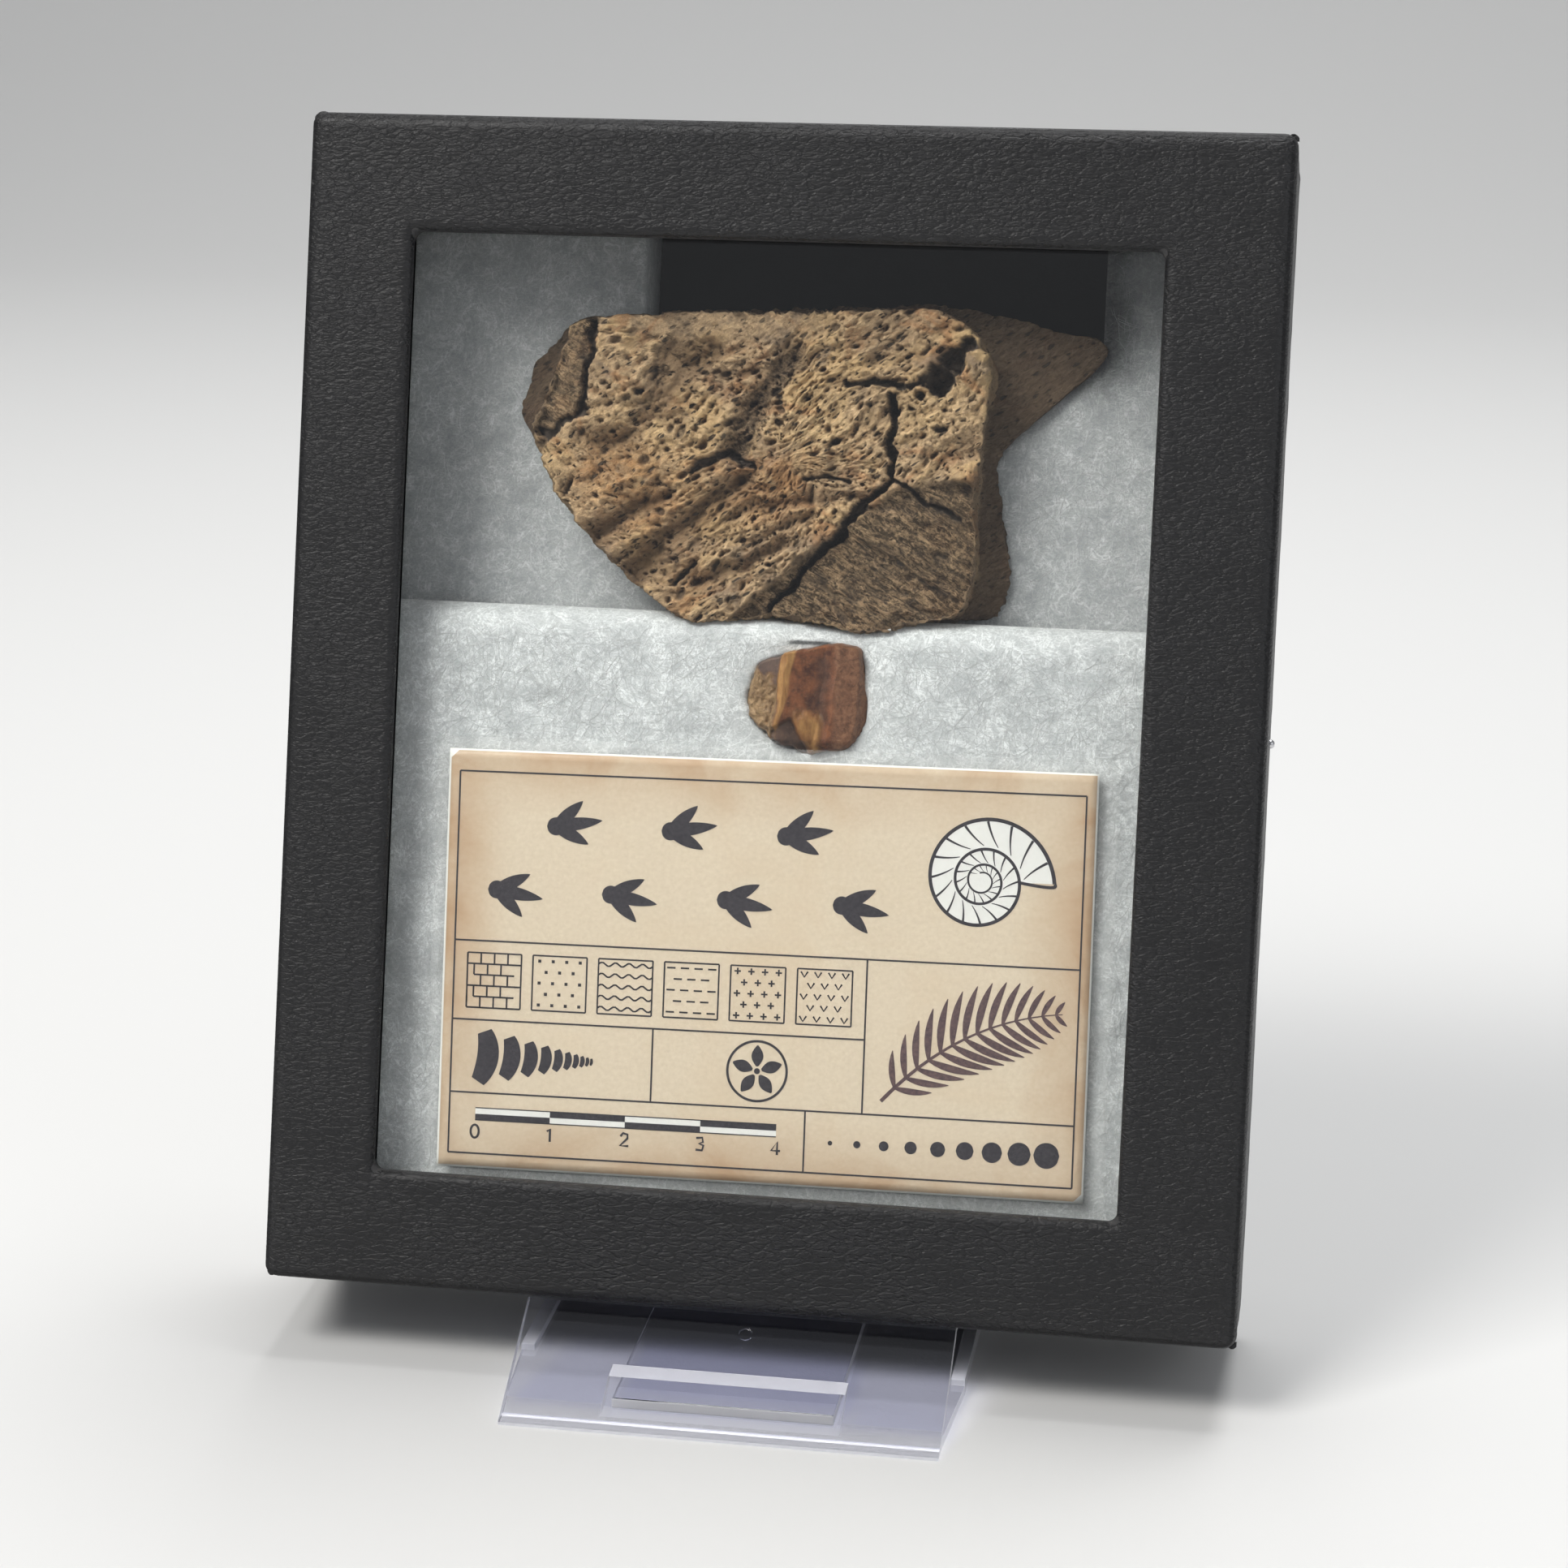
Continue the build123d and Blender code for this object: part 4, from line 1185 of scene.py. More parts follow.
def lumps(x, y, seed):
    """Loose fill: soft swellings with finer tufts on them."""
    return 0.35 * layered(x / 14, y / 10, seed, 3) + 0.03 * layered(x / 2.2, y / 1.6, seed + 9, 3)


def pad_top(x, y, top, head, roll, bottom, seed):
    """Height of a pad: a low crown with lumps, soft sides, a head that rolls over along a quarter circle
    of the given radius, and hollows under bone and tooth."""
    share = (y - y.min()) / (y.max() - y.min())
    height = top - LUMP_ROOM - PAD_CROWN * (2 * share - 1) ** 2 + np.minimum(lumps(x, y, seed), LUMP_ROOM)
    height = height - SIDE_FALL * step(SIDE_WIDTH, 0.0, np.minimum(x - x.min(), x.max() - x))
    bend = np.clip(1 - (head - y) / roll, 0, 1)
    height = height - roll * (1 - np.sqrt(1 - 0.99 * bend ** 2))
    return np.maximum(press(x, y, height, bottom), bottom + LEAST_FILL)


def painted_shadow_and_slit(points):
    """Share of painted shadow by the pocket's right edge, and of a short dark slit above the tooth."""
    x, y = points[:, 0], points[:, 1]
    away = np.hypot(np.maximum(x - pocket_right, 0), np.maximum(pocket_foot - y, 0))
    shade = step(8.5, -0.5, away + layered(x / 5, y / 5, 191, 4)) * step(15, 25, x)
    slit = step(0.5, 0.15, np.abs(y - SLIT_Y)) * step(3.4, 2.4, np.abs(x - SLIT_X))
    return np.maximum(shade, slit)


print(f"pads fall by {SIDE_FALL} mm at their sides")

# %% Batting pads


def pad(name, x, y, top, bottom, seed, roll, kept, stands_for):
    """A pad of batting over the kept cells of a lattice, and the field of its height."""
    flat_x, flat_y = np.meshgrid(x, y)
    height = pad_top(flat_x, flat_y, top, y[-1], roll, bottom, seed)
    points, faces = cut_slab(x, y, height, bottom, kept)
    made = add_piece(name, points, faces, "tray", "batting", [stands_for], thin=painted_shadow_and_slit(points))
    return made, (x, y, height)


back_x = np.concatenate([np.linspace(back_low[0], pocket_left, 54),
                         np.linspace(pocket_left, pocket_right, 92)[1:],
                         np.linspace(pocket_right, back_high[0], 20)[1:]])
back_y = np.concatenate([np.linspace(back_low[1], pocket_foot, 150),
                         np.linspace(pocket_foot, back_high[1], 30)[1:]])
centre_x, centre_y = (back_x[1:] + back_x[:-1]) / 2, (back_y[1:] + back_y[:-1]) / 2
in_pocket = (centre_x > pocket_left) & (centre_x < pocket_right) & (centre_y[:, None] > pocket_foot)
pad_back, back_field = pad("batting_back_pad", back_x, back_y, back_high[2], back_low[2], 151, 0.8,
                           ~in_pocket, "batting_back")
front_x = np.linspace(pad_low[0], pad_high[0], 190)
front_y = pad_low[1] + (pad_high[1] - pad_low[1]) * (1 - (1 - np.linspace(0, 1, 160)) ** 1.5)
every_cell = np.ones((len(front_y) - 1, len(front_x) - 1), bool)
pad_front, front_field = pad("batting_front_pad", front_x, front_y, pad_high[2], pad_low[2], 161, 4.0,
                             every_cell, "batting_front")
print(", ".join(f"{p.name} {len(p.data.polygons)} faces" for p in (pad_back, pad_front)))

# %% [markdown]
# Single fibres lie on the pads: thin three-sided tubes that wander and rise a little off the surface. Hair
# particles could make them too, but then they would not be part of the exported model.

# %% Loose fibres
BEADS, TRIES = 9, 8


def field_height(field, x, y):
    """Height of a pad's top under each place, from the nearest point of its lattice."""
    column = np.clip(np.searchsorted(field[0], x), 0, len(field[0]) - 1)
    row = np.clip(np.searchsorted(field[1], y), 0, len(field[1]) - 1)
    return field[2][row, column]


def fibre_paths(count, low, high, keep, dice):
    """Wandering paths whose heading drifts evenly and then bends, all of them on kept places."""
    t = np.linspace(0, 1, BEADS)
    start = dice.uniform(low, high, (TRIES * count, 2))
    drift, bend = dice.normal(0, 0.9, (TRIES * count, 1)), dice.normal(0, 1.1, (TRIES * count, 1))
    heading = dice.uniform(0, 2 * np.pi, (TRIES * count, 1)) + drift * t + bend * t ** 2
    pace = dice.uniform(2.0, 8.0, (TRIES * count, 1)) / BEADS
    x = start[:, :1] + np.cumsum(pace * np.cos(heading), 1)
    y = start[:, 1:] + np.cumsum(pace * np.sin(heading), 1)
    inside = (x > low[0]) & (x < high[0]) & (y > low[1]) & (y < high[1]) & keep(x, y)
    kept = np.flatnonzero(inside.all(1))[:count]
    return x[kept], y[kept], heading[kept]


def fibres(name, field, count, low, high, keep, seed, radius, lift, top=np.inf):
    """Closed tubes along the paths, thin at their ends, whose lift off the pad swells in the middle."""
    dice = np.random.default_rng(seed)
    x, y, heading = fibre_paths(count, low, high, keep, dice)
    rise = np.sin(np.pi * np.linspace(0, 1, BEADS))
    z = np.minimum(field_height(field, x, y) + dice.uniform(0.0, lift, (len(x), 1)) * rise + 0.01, top)
    spine = np.stack([x, y, z], -1)
    side = np.stack([-np.sin(heading), np.cos(heading), np.zeros_like(heading)], -1)
    around = np.radians([90, 210, 330])[:, None]
    thin = radius * (0.4 + 0.6 * rise)[None, :, None, None]
    ring = side[:, :, None] * np.cos(around) + np.array([0, 0, 1.0]) * np.sin(around)
    tube = spine[:, :, None] + thin * ring
    first = 3 * BEADS * np.arange(len(x))[:, None, None]
    quads = (lattice(BEADS, 3, False, True)[None] + first).reshape(-1, 4)
    ends = (np.array([[2, 1, 0], [3 * BEADS - 3, 3 * BEADS - 2, 3 * BEADS - 1]]) + first).reshape(-1, 3)
    return add_piece(name, tube, quads.tolist() + ends.tolist(), "tray", "batting")


print("fibre tools ready")

# %% Fibres in view
FRONT_COUNT, BACK_COUNT, FRONT_RADIUS, BACK_RADIUS = 3000, 1100, 0.028, 0.022
VIEW_MARGIN, CARD_OVERLAP, POCKET_MARGIN = 2, 1, 0.5
card_low, card_high = spans("label_card")
view_low, view_high = window_low - VIEW_MARGIN, window_high + VIEW_MARGIN


def clear_of_card(x, y):
    """True for places of the front pad that card, tooth and bone leave in view."""
    low, high = card_low + CARD_OVERLAP, card_high - CARD_OVERLAP
    under = (x > low[0]) & (x < high[0]) & (y > low[1]) & (y < high[1])
    beside = inside_share(x, y, tooth_middle, tooth_angle, tooth_widest) > 1.05
    return ~under & beside & (inside_share(x, y, bone_middle, bone_angle, bone_widest) > 1.0)


def clear_of_bone(x, y):
    """True for places of the back pad beside the bone and outside its pocket."""
    beside = inside_share(x, y, bone_middle, bone_angle, bone_widest) > 1.03
    left, right, foot = pocket_left - POCKET_MARGIN, pocket_right + POCKET_MARGIN, pocket_foot - POCKET_MARGIN
    return beside & ~((x > left) & (x < right) & (y > foot))


front_fibres = fibres("batting_front_fibres", front_field, FRONT_COUNT, (view_low[0], view_low[1]),
                      (view_high[0], pad_high[1] - 0.5), clear_of_card, 171, FRONT_RADIUS, 0.09,
                      card_low[2] - 0.1)
back_fibres = fibres("batting_back_fibres", back_field, BACK_COUNT, (view_low[0], pad_high[1] - 2),
                     (view_high[0], view_high[1]), clear_of_bone, 181, BACK_RADIUS, 0.03)
print(f"{len(front_fibres.data.polygons) + len(back_fibres.data.polygons)} fibre faces")

# %% [markdown]
# Batting is white, a little cool, soft, and uneven where the fibre is thin. Modelling every fibre would
# take far too many faces, so the finest curls are level lines of bent noise. The relief is very shallow,
# so that light rolls over it as over cotton and not as over plaster.

# %% Batting finish
# stretch, scale and most
CURLS = (((1.0, 0.6, 1.0), 0.42, 0.65), ((0.6, 1.1, 1.0), 0.7, 0.6), ((1.2, 1.0, 1.0), 1.1, 0.5))


def batting(name, dark, light, curls=1.0, solid=1.0):
    """White fibre fill with a soft sheen. Clouds thin it out, a fine tangle breaks it up, the level lines
    of three bent noises are curled fibres, and the stored mark paints shadow by the pocket's right edge and
    a short dark slit above the tooth."""
    made, tree, shader = new_material(name, {"Roughness": 0.95, "Specular IOR Level": 0.15,
                                             "Sheen Weight": 0.3, "Sheen Roughness": 0.6, "Alpha": solid})
    clouds = mottle(tree, box_place(tree), 0.3, 6.0, 0.62, 0.4)
    tangle = mottle(tree, box_place(tree, (1.1, 1.5, 1.2)), 1.3, 8.0, 0.78, 1.2)
    share = times(tree, remap(tree, clouds, 0.3, 0.7, 0.45, 1.0), remap(tree, tangle, 0.36, 0.6, 0.35, 1.0))
    colour = blend(tree, share, dark, light)
    for stretch, scale, most in CURLS:
        level = calculate(tree, "SUBTRACT", mottle(tree, box_place(tree, stretch), scale, 3.0, 0.5, 1.6), 0.5)
        curl = remap(tree, calculate(tree, "ABSOLUTE", level, 0.0), 0.03, 0.004, 0.0, most * curls)
        tufts = times(tree, curl, remap(tree, clouds, 0.36, 0.6, 0.25, 1.0))
        colour = blend(tree, tufts, colour, (0.88, 0.89, 0.89))
    # Painted shadow by the pocket, and a dark slit above the tooth, from the stored mark.
    thin = times(tree, mark(tree, "thin"), remap(tree, tangle, 0.4, 0.62, 0.97, 0.8))
    drive(shader, "Base Color", blend(tree, thin, colour, (0.022, 0.023, 0.024)))
    relief(tree, shader, tangle, 0.04, 0.5)
    return made


pad_white = batting("batting_fill", (0.3, 0.315, 0.325), (0.66, 0.67, 0.67))
# The back pad's fill is a darker copy of the front's, as painted shade for the deeper pad.
painted_shade_white = batting("shaded_batting_fill", (0.24, 0.25, 0.257), (0.5, 0.508, 0.508), 0.55)
fibre_white = batting("batting_fibre", (0.8, 0.81, 0.82), (0.9, 0.9, 0.89), 1.0, 0.6)
for piece, white in ((pad_back, painted_shade_white), (pad_front, pad_white),
                     (front_fibres, fibre_white), (back_fibres, fibre_white)):
    finish(piece, white)
print("batting finish set")

# %% [markdown]
# The card is a stiff sheet, browner towards its edges, sealed in film whose clear margin stands out round
# it. Its middle, direction and size come from the CAD card. A plain box would look dead flat, so card and
# film are thin slabs over a lattice, which can bow a little.

# %% Label card
BOW, FILM_LOW, FILM_HIGH = 0.28, 0.17, 0.23
FILM_LEFT, FILM_RIGHT, FILM_ENDS = 1.7, 2.6, 1.6
card_corners = to_box(row_points("label_card"))
card_middle = (card_low + card_high) / 2
_, card_ways = np.linalg.eigh(np.cov((card_corners[:, :2] - card_middle[:2]).T))
card_along = card_ways[:, 1] * np.sign(card_ways[0, 1])
card_up = np.array([-card_along[1], card_along[0]])
card_half = np.array([((card_corners[:, :2] - card_middle[:2]) @ way).max() for way in (card_along, card_up)])
card_thick = card_high[2] - card_low[2]


def on_card(points):
    """Card millimetres from its middle and its back, as box points that follow the card's bow."""
    flat = card_middle[:2] + points[:, :1] * card_along + points[:, 1:2] * card_up
    bow = BOW * (points[:, :1] / card_half[0]) ** 2
    return np.concatenate([flat, card_low[2] + points[:, 2:] + bow], 1)


def card_sheet(name, x, y, low, high, kept):
    """A thin slab on the card's own lattice, and each point's distance from the card's edge."""
    points, faces = cut_slab(x, y, np.full((len(y), len(x)), high), low, kept)
    edge = np.min(card_half - np.abs(points[:, :2]), 1)
    return add_piece(name, on_card(points), faces, "tray", "label_card", ["label_card"], edge=edge)


card_x, card_y = np.linspace(-card_half[0], card_half[0], 70), np.linspace(-card_half[1], card_half[1], 46)
whole = np.ones((len(card_y) - 1, len(card_x) - 1), bool)
card = card_sheet("label_card_sheet", card_x, card_y, 0.0, card_thick, whole)
film_x = np.concatenate([[-card_half[0] - FILM_LEFT], card_x, [card_half[0] + FILM_RIGHT]])
film_y = np.concatenate([[-card_half[1] - FILM_ENDS], card_y, [card_half[1] + FILM_ENDS]])
margin = np.ones((len(film_y) - 1, len(film_x) - 1), bool)
margin[1:-1, 1:-1] = False
film = card_sheet("label_card_film", film_x, film_y, FILM_LOW, FILM_HIGH, margin)
print(f"card {2 * card_half} mm, turned {np.degrees(np.arctan2(card_along[1], card_along[0])):.2f} degrees")

# %% [markdown]
# The print is a generic field card's: rules that part it into cells, a trackway, shells, a frond, a legend of
# rock patterns, a row of grain sizes, and a chequered scale with numerals. A texture would need a picture, so
# every mark is a thin strip along a path, in card millimetres from the middle, and lies just over the paper.

# %% Print strokes and rules
INK, FROND, WHITE = 0.0, 0.5, 1.0
INK_LIFT, GROUND_LIFT = 0.04, 0.02


def stroke(path, width, tone=INK, lift=INK_LIFT):
    """A strip along a path, as wide as given at each of its points. A plain width is kept on long runs too,
    which get points every two millimetres so that they follow the card."""
    path = np.asarray(path, float)
    if np.ndim(width) == 0:
        counts = np.maximum(np.linalg.norm(np.diff(path, axis=0), axis=1) / 2, 1).round().astype(int)
        runs = [np.linspace(a, b, n, endpoint=False) for a, b, n in zip(path[:-1], path[1:], counts)]
        path = np.concatenate([*runs, path[-1:]])
    run = np.gradient(path, axis=0)
    side = np.stack([-run[:, 1], run[:, 0]], 1) / np.maximum(np.linalg.norm(run, axis=1), 1e-9)[:, None]
    spread = np.broadcast_to(width, len(path))[:, None] / 2
    return np.stack([path + side * spread, path - side * spread], 1), tone, lift


def curve(start, steer, end, count):
    """The Bezier curve between two points that a third one steers."""
    t = np.linspace(0, 1, count)[:, None]
    first = np.array(start) * (1 - t) + np.array(steer) * t
    second = np.array(steer) * (1 - t) + np.array(end) * t
    return first * (1 - t) + second * t


def disc(x, y, radius):
    """A filled circle: a strip along its middle whose width follows the circle."""
    t = np.linspace(-1, 1, 15)
    return stroke(np.stack([x + radius * t, np.full(15, y)], 1), 2 * radius * np.sqrt(1.001 - t ** 2))


def four_sides(left, low, right, high):
    """The four sides of a rectangle, one after the other."""
    corners = ((left, low), (right, low), (right, high), (left, high))
    return list(zip(corners, corners[1:] + corners[:1]))


def rules(left, low, right, high):
    """Border, then the lines between the card's cells."""
    top, middle, foot = 2.4, -8.0, -17.6
    frond_left, star_left, grains_left = 13.6, -14.2, 6.2
    lines = four_sides(left, low, right, high) + [
        ((left, top), (right, top)), ((left, foot), (right, foot)), ((frond_left, top), (frond_left, foot)),
        ((left, middle), (frond_left, middle)), ((star_left, middle), (star_left, foot)),
        ((grains_left, foot), (grains_left, low))]
    return [stroke(line, 0.22) for line in lines]


card_rules = rules(-41.0, -25.6, 41.0, 24.6)
print(f"{len(card_rules)} rules")

# %% Tracks and shells
COIL_TURN, COIL_SHRINK, COIL_POINTS = 6.6 * np.pi, 0.105, 260


def footprint(x, y, size, turn):
    """A three-toed print: a round heel, and toes that swell and end in a point."""
    marks = [disc(x, y, 0.16 * size)]
    for toe, long in ((-0.62, 0.66), (0.0, 0.84), (0.62, 0.66)):
        way = (np.cos(turn + toe), np.sin(turn + toe))
        path = np.outer(np.linspace(0.08, long, 16) * size, way) + (x, y)
        marks.append(stroke(path, 0.23 * size * np.sin(np.pi * np.linspace(0.3, 0.995, 16)) ** 0.8))
    return marks


def coiled_shell(x, y, size):
    """A spiral that shrinks evenly with its turn, a white ground, and ribs across it."""
    turn = np.linspace(0, COIL_TURN, COIL_POINTS)
    ray = np.stack([np.cos(turn), np.sin(turn)], 1) * size
    spiral = ray * np.exp(-COIL_SHRINK * turn)[:, None] + (x, y)
    inner = ray * np.exp(-COIL_SHRINK * (turn + 2 * np.pi))[:, None] + (x, y)
    ground = (np.stack([np.zeros_like(spiral) + (x, y), spiral], 1)[:100], WHITE, GROUND_LIFT)
    marks = [ground, stroke(spiral, np.linspace(0.5, 0.2, COIL_POINTS))]
    for k in range(4, 190, 5):
        a, b = spiral[k], inner[max(k - 6, 0)]
        rib = curve(a * 0.94 + b * 0.06, (a + b) / 2 + 0.12 * (spiral[k + 4] - a), b * 0.85 + a * 0.15, 7)
        marks.append(stroke(rib, np.linspace(0.36, 0.12, 7) * (1 - k / 300)))
    return marks + [stroke(curve(spiral[0], spiral[0] + (1.0, -0.9), inner[0], 12), 0.4)]


def turret_shell(x, y, long, wide):
    """A tall shell on its side: bowed bands, each four fifths of the one before."""
    marks = []
    for shrink in 0.8 ** np.arange(10):
        foot, reach = x + 0.92 * long * (1 - shrink), wide / 2 * shrink
        start, steer = (foot - 0.04 * long * shrink, y - reach), (foot + 0.08 * long * shrink, y)
        band = curve(start, steer, (foot, y + reach), 14)
        marks.append(stroke(band, 0.16 * long * shrink * np.sin(np.pi * np.linspace(0.12, 0.88, 14)) ** 0.4))
    return marks


def sea_star(x, y, radius):
    """A round test with five petals: swelling strokes from its middle, inside a ring."""
    around = np.linspace(0, 2 * np.pi, 49)
    ring = np.stack([x + radius * np.cos(around), y + radius * np.sin(around)], 1)
    marks = [stroke(ring, 0.32), disc(x, y, 0.1 * radius)]
    for turn in np.pi / 2 + 2 * np.pi / 5 * np.arange(5):
        path = np.outer(np.linspace(0.16, 0.86, 12) * radius, (np.cos(turn), np.sin(turn))) + (x, y)
        marks.append(stroke(path, 0.4 * radius * np.sin(np.pi * np.linspace(0.06, 0.96, 12))))
    return marks


print("tools for tracks and shells ready")

# %% Frond and pictures


def frond(foot, bend, tip, reach):
    """A bent stalk with paired leaflets, longest in its middle, that lean to the tip."""
    stalk = curve(foot, bend, tip, 60)
    marks = [stroke(stalk, np.linspace(0.5, 0.12, 60), FROND)]
    run = np.gradient(stalk, axis=0)
    run /= np.linalg.norm(run, axis=1)[:, None]
    for k in range(5, 59, 4):
        long = reach * np.sin(np.pi * (0.16 + 0.8 * k / 60)) ** 0.9
        for hand in (-1, 1):
            way = 0.55 * run[k] + hand * np.array([-run[k, 1], run[k, 0]])
            leaf = curve(stalk[k], stalk[k] + 0.55 * long * way, stalk[k] + long * (way + 0.3 * run[k]), 8)
            swell = np.sin(np.pi * np.linspace(0.1, 0.98, 8)) ** 0.8
            marks.append(stroke(leaf, 0.95 * (0.5 + 0.1 * long) * swell, FROND))
    return marks


pictures = coiled_shell(28.0, 13.2, 9.3) + frond((16.0, -15.8), (26.0, -4.6), (39.0, -3.4), 5.4)
pictures += turret_shell(-36.6, -12.8, 18.0, 6.6) + sea_star(-0.3, -12.8, 3.9)
for k in range(7):
    pictures += footprint(-35.6 + 7.6 * k, 13.5 + (4.3 if k % 2 else -4.3), 7.4, 0.16 if k % 2 else -0.16)
print(f"{len(pictures)} strokes of pictures")

# %% Rock patterns, grain sizes and scale
SWATCH = 7.2
# whether every other row is shifted, and the strokes of one motif
PATTERNS = {
    "bricks": (1, [((-0.9, -0.72), (0.9, -0.72)), ((-0.9, -0.72), (-0.9, 0.72))]),
    "dots": (1, [((-0.2, 0.0), (0.2, 0.0))]),
    "waves": (0, [((-0.9, 0.0), (-0.6, 0.22), (-0.3, 0.22), (0.3, -0.22), (0.6, -0.22), (0.9, 0.0))]),
    "dashes": (1, [((-0.55, 0.0), (0.55, 0.0))]),
    "crosses": (1, [((-0.42, 0.0), (0.42, 0.0)), ((0.0, -0.42), (0.0, 0.42))]),
    "hooks": (1, [((-0.45, 0.35), (0.0, -0.35), (0.45, 0.35))]),
}
ROUND = np.linspace(0, 2 * np.pi, 25)
NUMERALS = {
    0: [np.stack([0.32 * np.cos(ROUND), 0.5 * np.sin(ROUND)], 1)],
    1: [((-0.2, 0.3), (0.05, 0.5), (0.05, -0.5))],
    2: [((-0.3, 0.25), (-0.1, 0.5), (0.25, 0.4), (0.25, 0.1), (-0.32, -0.48), (0.34, -0.48))],
    3: [((-0.28, 0.45), (0.2, 0.5), (0.26, 0.15), (-0.05, 0.04), (0.3, -0.1), (0.2, -0.48), (-0.3, -0.45))],
    4: [((0.12, -0.5), (0.12, 0.5), (-0.34, -0.18), (0.36, -0.18))],
}


def swatch(kind, left, low):
    """A framed sample of a rock pattern: its strokes on a small lattice, every other row shifted by half."""
    shifted, motif = PATTERNS[kind]
    marks = [stroke(line, 0.2) for line in four_sides(left, low, left + SWATCH, low + SWATCH)]
    for row in range(5):
        for column in range(4 - shifted * (row % 2)):
            middle = (left + 0.9 + 1.8 * column + 0.9 * shifted * (row % 2), low + 0.72 + 1.44 * row)
            marks += [stroke(np.asarray(path) + middle, 0.4 if kind == "dots" else 0.22) for path in motif]
    return marks


def scale_bar(x, y, unit, height):
    """A chequered scale of two rows, with plain numerals under its marks."""
    marks = [stroke(((x, y), (x + 4 * unit, y)), 2 * height, WHITE, GROUND_LIFT)]
    for k in range(4):
        level = y + (0.5 if k % 2 else -0.5) * height
        marks.append(stroke(((x + k * unit, level), (x + (k + 1) * unit, level)), height))
    for edge in (y - height, y + height):
        marks.append(stroke(((x, edge), (x + 4 * unit, edge)), 0.14))
    for number, paths in NUMERALS.items():
        middle = (x + number * unit, y - height - 1.5)
        marks += [stroke(np.asarray(path) * 1.7 + middle, 0.3) for path in paths]
    return marks


measures = scale_bar(-37.5, -20.4, 10.0, 0.8)
for k, kind in enumerate(PATTERNS):
    measures += swatch(kind, -39.2 + 8.75 * k, -6.4)
for k in range(9):
    measures.append(disc(9.6 + 3.5 * k, -21.6, 0.3 + 0.17 * k))
print(f"{len(measures)} strokes of patterns, grains and scale")

# %% Print on the card
INK_DEPTH = 0.05


def print_bar(strip, lift):
    """A strip as a closed bar: its two edges over the paper, the same two lower down, and two end caps."""
    level = card_thick + lift - INK_DEPTH * np.array([0, 0, 1, 1])[:, None]
    ring = np.concatenate([strip, strip[:, ::-1]], 1)
    points = np.concatenate([ring, np.broadcast_to(level, (len(strip), 4, 1))], 2).reshape(-1, 3)
    caps = np.array([[0, 3, 2, 1], np.arange(len(points) - 4, len(points))])
    return points, np.concatenate([lattice(len(strip), 4, False, True), caps])


printed = card_rules + pictures + measures
bars = [print_bar(strip, lift) for strip, _, lift in printed]
starts = np.cumsum([0] + [len(points) for points, _ in bars])
bar_points = np.concatenate([points for points, _ in bars])
bar_faces = np.concatenate([faces + start for (_, faces), start in zip(bars, starts)])
bar_tones = np.concatenate([np.full(len(points), tone) for (points, _), (_, tone, _) in zip(bars, printed)])
card_print = add_piece("label_card_print", on_card(bar_points), bar_faces, "tray", "label_card",
                       tone=bar_tones)
card_print.data.shade_flat()
print(f"{len(printed)} printed marks, {2 * len(bar_faces)} triangles")

# %% [markdown]
# Parchment is blotched, darker to its edges, with a bare white cut edge, under a glossy film. The ink is
# uneven in the same way. A scan of paper would be a picture, so the distance from the card's edge, stored
# on the mesh, and noise do the ageing.

# %% Card finish


def parchment():
    """Paper whose brown grows towards the edge mark and with broad noise, and whose cut edge is white."""
    made, tree, shader = new_material("parchment_card", {"Coat Weight": 0.35, "Specular IOR Level": 0.3})
    blotch = mottle(tree, box_place(tree), 0.07, 5.0, 0.6, 0.5)
    grain = mottle(tree, box_place(tree), 1.6, 4.0, 0.7)
    rim = remap(tree, mark(tree, "edge"), 9.0, 0.0)
    aged = times(tree, rim, remap(tree, blotch, 0.35, 0.65, 0.3, 1.0))
    paper = blend(tree, remap(tree, grain, 0.3, 0.7), (0.62, 0.51, 0.38), (0.7, 0.59, 0.455))
    paper = blend(tree, remap(tree, blotch, 0.5, 0.75, 0.0, 0.45), paper, (0.6, 0.45, 0.3))
    paper = blend(tree, aged, paper, (0.45, 0.28, 0.16))
    paper = blend(tree, remap(tree, mark(tree, "edge"), 0.28, 0.2), paper, (0.85, 0.84, 0.8))
    drive(shader, "Base Color", paper)
    drive(shader, "Roughness", remap(tree, grain, 0.3, 0.7, 0.45, 0.6))
    return made


def ink():
    """Print whose tone mark tells dark ink, frond brown or bare white, mottled a little."""
    made, tree, shader = new_material("card_ink", {"Coat Weight": 0.35, "Specular IOR Level": 0.3})
    uneven = mottle(tree, box_place(tree), 2.2, 4.0)
    shades = remap(tree, uneven, 0.3, 0.7)
    dark = blend(tree, shades, (0.022, 0.02, 0.026), (0.05, 0.043, 0.05))
    brown = blend(tree, shades, (0.06, 0.035, 0.045), (0.14, 0.085, 0.08))
    white = blend(tree, uneven, (0.74, 0.72, 0.68), (0.82, 0.81, 0.79))
    tone = mark(tree, "tone")
    printed_tone = blend(tree, remap(tree, tone, 0.2, 0.4), dark, brown)
    drive(shader, "Base Color", blend(tree, remap(tree, tone, 0.6, 0.9), printed_tone, white))
    drive(shader, "Roughness", remap(tree, uneven, 0.3, 0.7, 0.45, 0.6))
    return made


def sealing_film():
    """Thin clear sheet, seen by its gloss and a faint veil that noise makes uneven."""
    made, tree, shader = new_material("card_film", {"Base Color": (0.9, 0.9, 0.89, 1), "Alpha": 0.07})
    drive(shader, "Roughness", remap(tree, mottle(tree, box_place(tree), 0.4), 0.3, 0.7, 0.12, 0.25))
    return made


finish(card, parchment())
finish(card_print, ink())
finish(film, sealing_film())
print("card finish set")

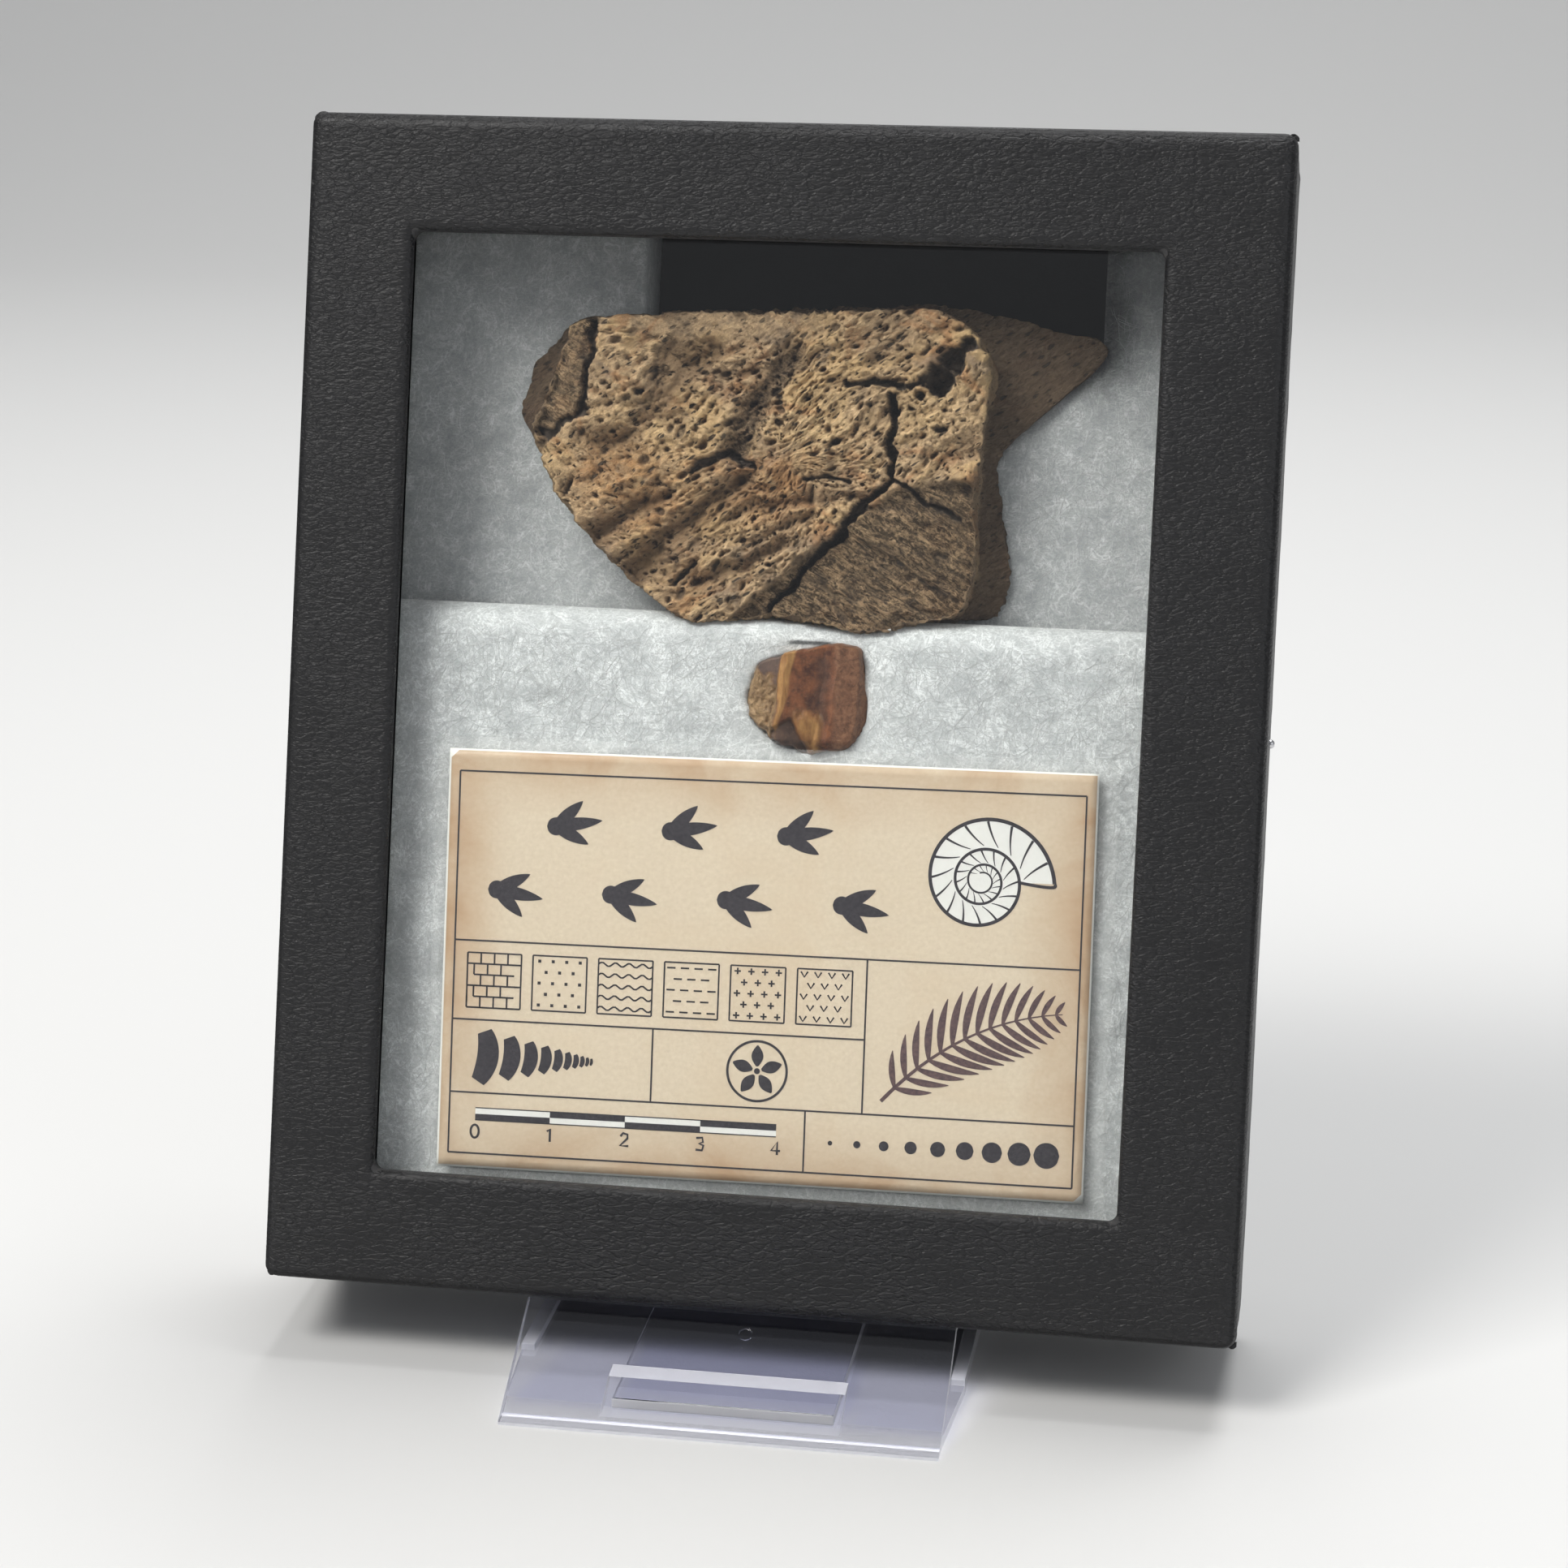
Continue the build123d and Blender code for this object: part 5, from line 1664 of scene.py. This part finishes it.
# %% [markdown]
# Floor, lamps and camera. A flat floor would end in a hard line behind the box, so one pale sheet curves
# up into a wall, as in a studio. Lamps are large and soft, because small ones throw hard shadows. The
# camera stands to the right of the box, above it, and looks down a little.

# %% Floor
FLOOR_FRONT, FLOOR_BACK, SWEEP, WALL_TOP = -2.0, 0.9, 0.9, 2.4
sweep_turn = np.linspace(0, np.pi / 2, 24)[1:]
sweep_y = np.concatenate([np.linspace(FLOOR_FRONT, FLOOR_BACK, 20), FLOOR_BACK + SWEEP * np.sin(sweep_turn),
                          np.full(12, FLOOR_BACK + SWEEP)])
sweep_z = np.concatenate([np.zeros(20), SWEEP * (1 - np.cos(sweep_turn)),
                          np.linspace(SWEEP + 0.05, WALL_TOP, 12)])
sweep_x = np.linspace(-3, 3, 9)
sweep = np.stack(np.broadcast_arrays(sweep_x[None], sweep_y[:, None], sweep_z[:, None]), -1)
floor_mesh = bpy.data.meshes.new("floor")
floor_mesh.from_pydata(sweep.reshape(-1, 3), [], lattice(*sweep.shape[:2]))
floor_mesh.shade_smooth()
floor = bpy.data.objects.new("floor", floor_mesh)
bpy.context.scene.collection.objects.link(floor)
finish(floor, new_material("pale_floor", {"Base Color": (0.72, 0.72, 0.71, 1), "Roughness": 0.7})[0])
print(f"floor of {len(floor_mesh.polygons)} faces")

# %% Lamps
# name, place, aim, size, power and colour
LAMPS = (
    ("key", (-0.55, -0.55, 1.05), (0, 0, 0.08), 0.5, 10.5, (1.0, 0.98, 0.95)),
    ("fill", (0.95, -0.6, 0.55), (0, 0, 0.08), 0.8, 1.8, (0.95, 0.97, 1.0)),
    ("top", (0.1, 0.45, 1.1), (0, 0, 0.12), 0.6, 9.0, (1, 1, 1)),
)


def soft_lamp(name, place, aim, size, power, colour):
    """A square area lamp that faces a point."""
    lamp = bpy.data.lights.new(name, "AREA")
    lamp.size, lamp.energy, lamp.color = size, power, colour
    holder = bpy.data.objects.new(name, lamp)
    holder.location = place
    holder.rotation_euler = (Vector(aim) - Vector(place)).to_track_quat("-Z", "Y").to_euler()
    bpy.context.scene.collection.objects.link(holder)


for lamp_row in LAMPS:
    soft_lamp(*lamp_row)
world = bpy.data.worlds.new("studio")
world.use_nodes = True
sky = world.node_tree.nodes["Background"].inputs
sky["Color"].default_value, sky["Strength"].default_value = (0.93, 0.95, 1.0, 1), 0.3
bpy.context.scene.world = world
print("lamps:", ", ".join(name for name, *_ in LAMPS))

# %% Camera
CAMERA_PLACE, LENS, SENSOR = (0.0699, -0.4182, 0.2021), 78.22, 36.0
camera_right = np.array([0.9866, 0.1630, 0.0052])
camera_forward = np.array([-0.1545, 0.9446, -0.2895])
camera_up = np.cross(camera_right, camera_forward)
camera = bpy.data.objects.new("camera", bpy.data.cameras.new("camera"))
camera.data.lens, camera.data.sensor_width = LENS, SENSOR
camera_axes = np.stack([camera_right, camera_up, -camera_forward], 1).tolist()
camera_rows = [(*row, place) for row, place in zip(camera_axes, CAMERA_PLACE)]
camera.matrix_world = Matrix((*camera_rows, (0, 0, 0, 1)))
bpy.context.scene.collection.objects.link(camera)
bpy.context.scene.camera = camera
bpy.context.scene.view_settings.view_transform = "Standard"
print(f"camera at {CAMERA_PLACE} m with a lens of {LENS} mm")
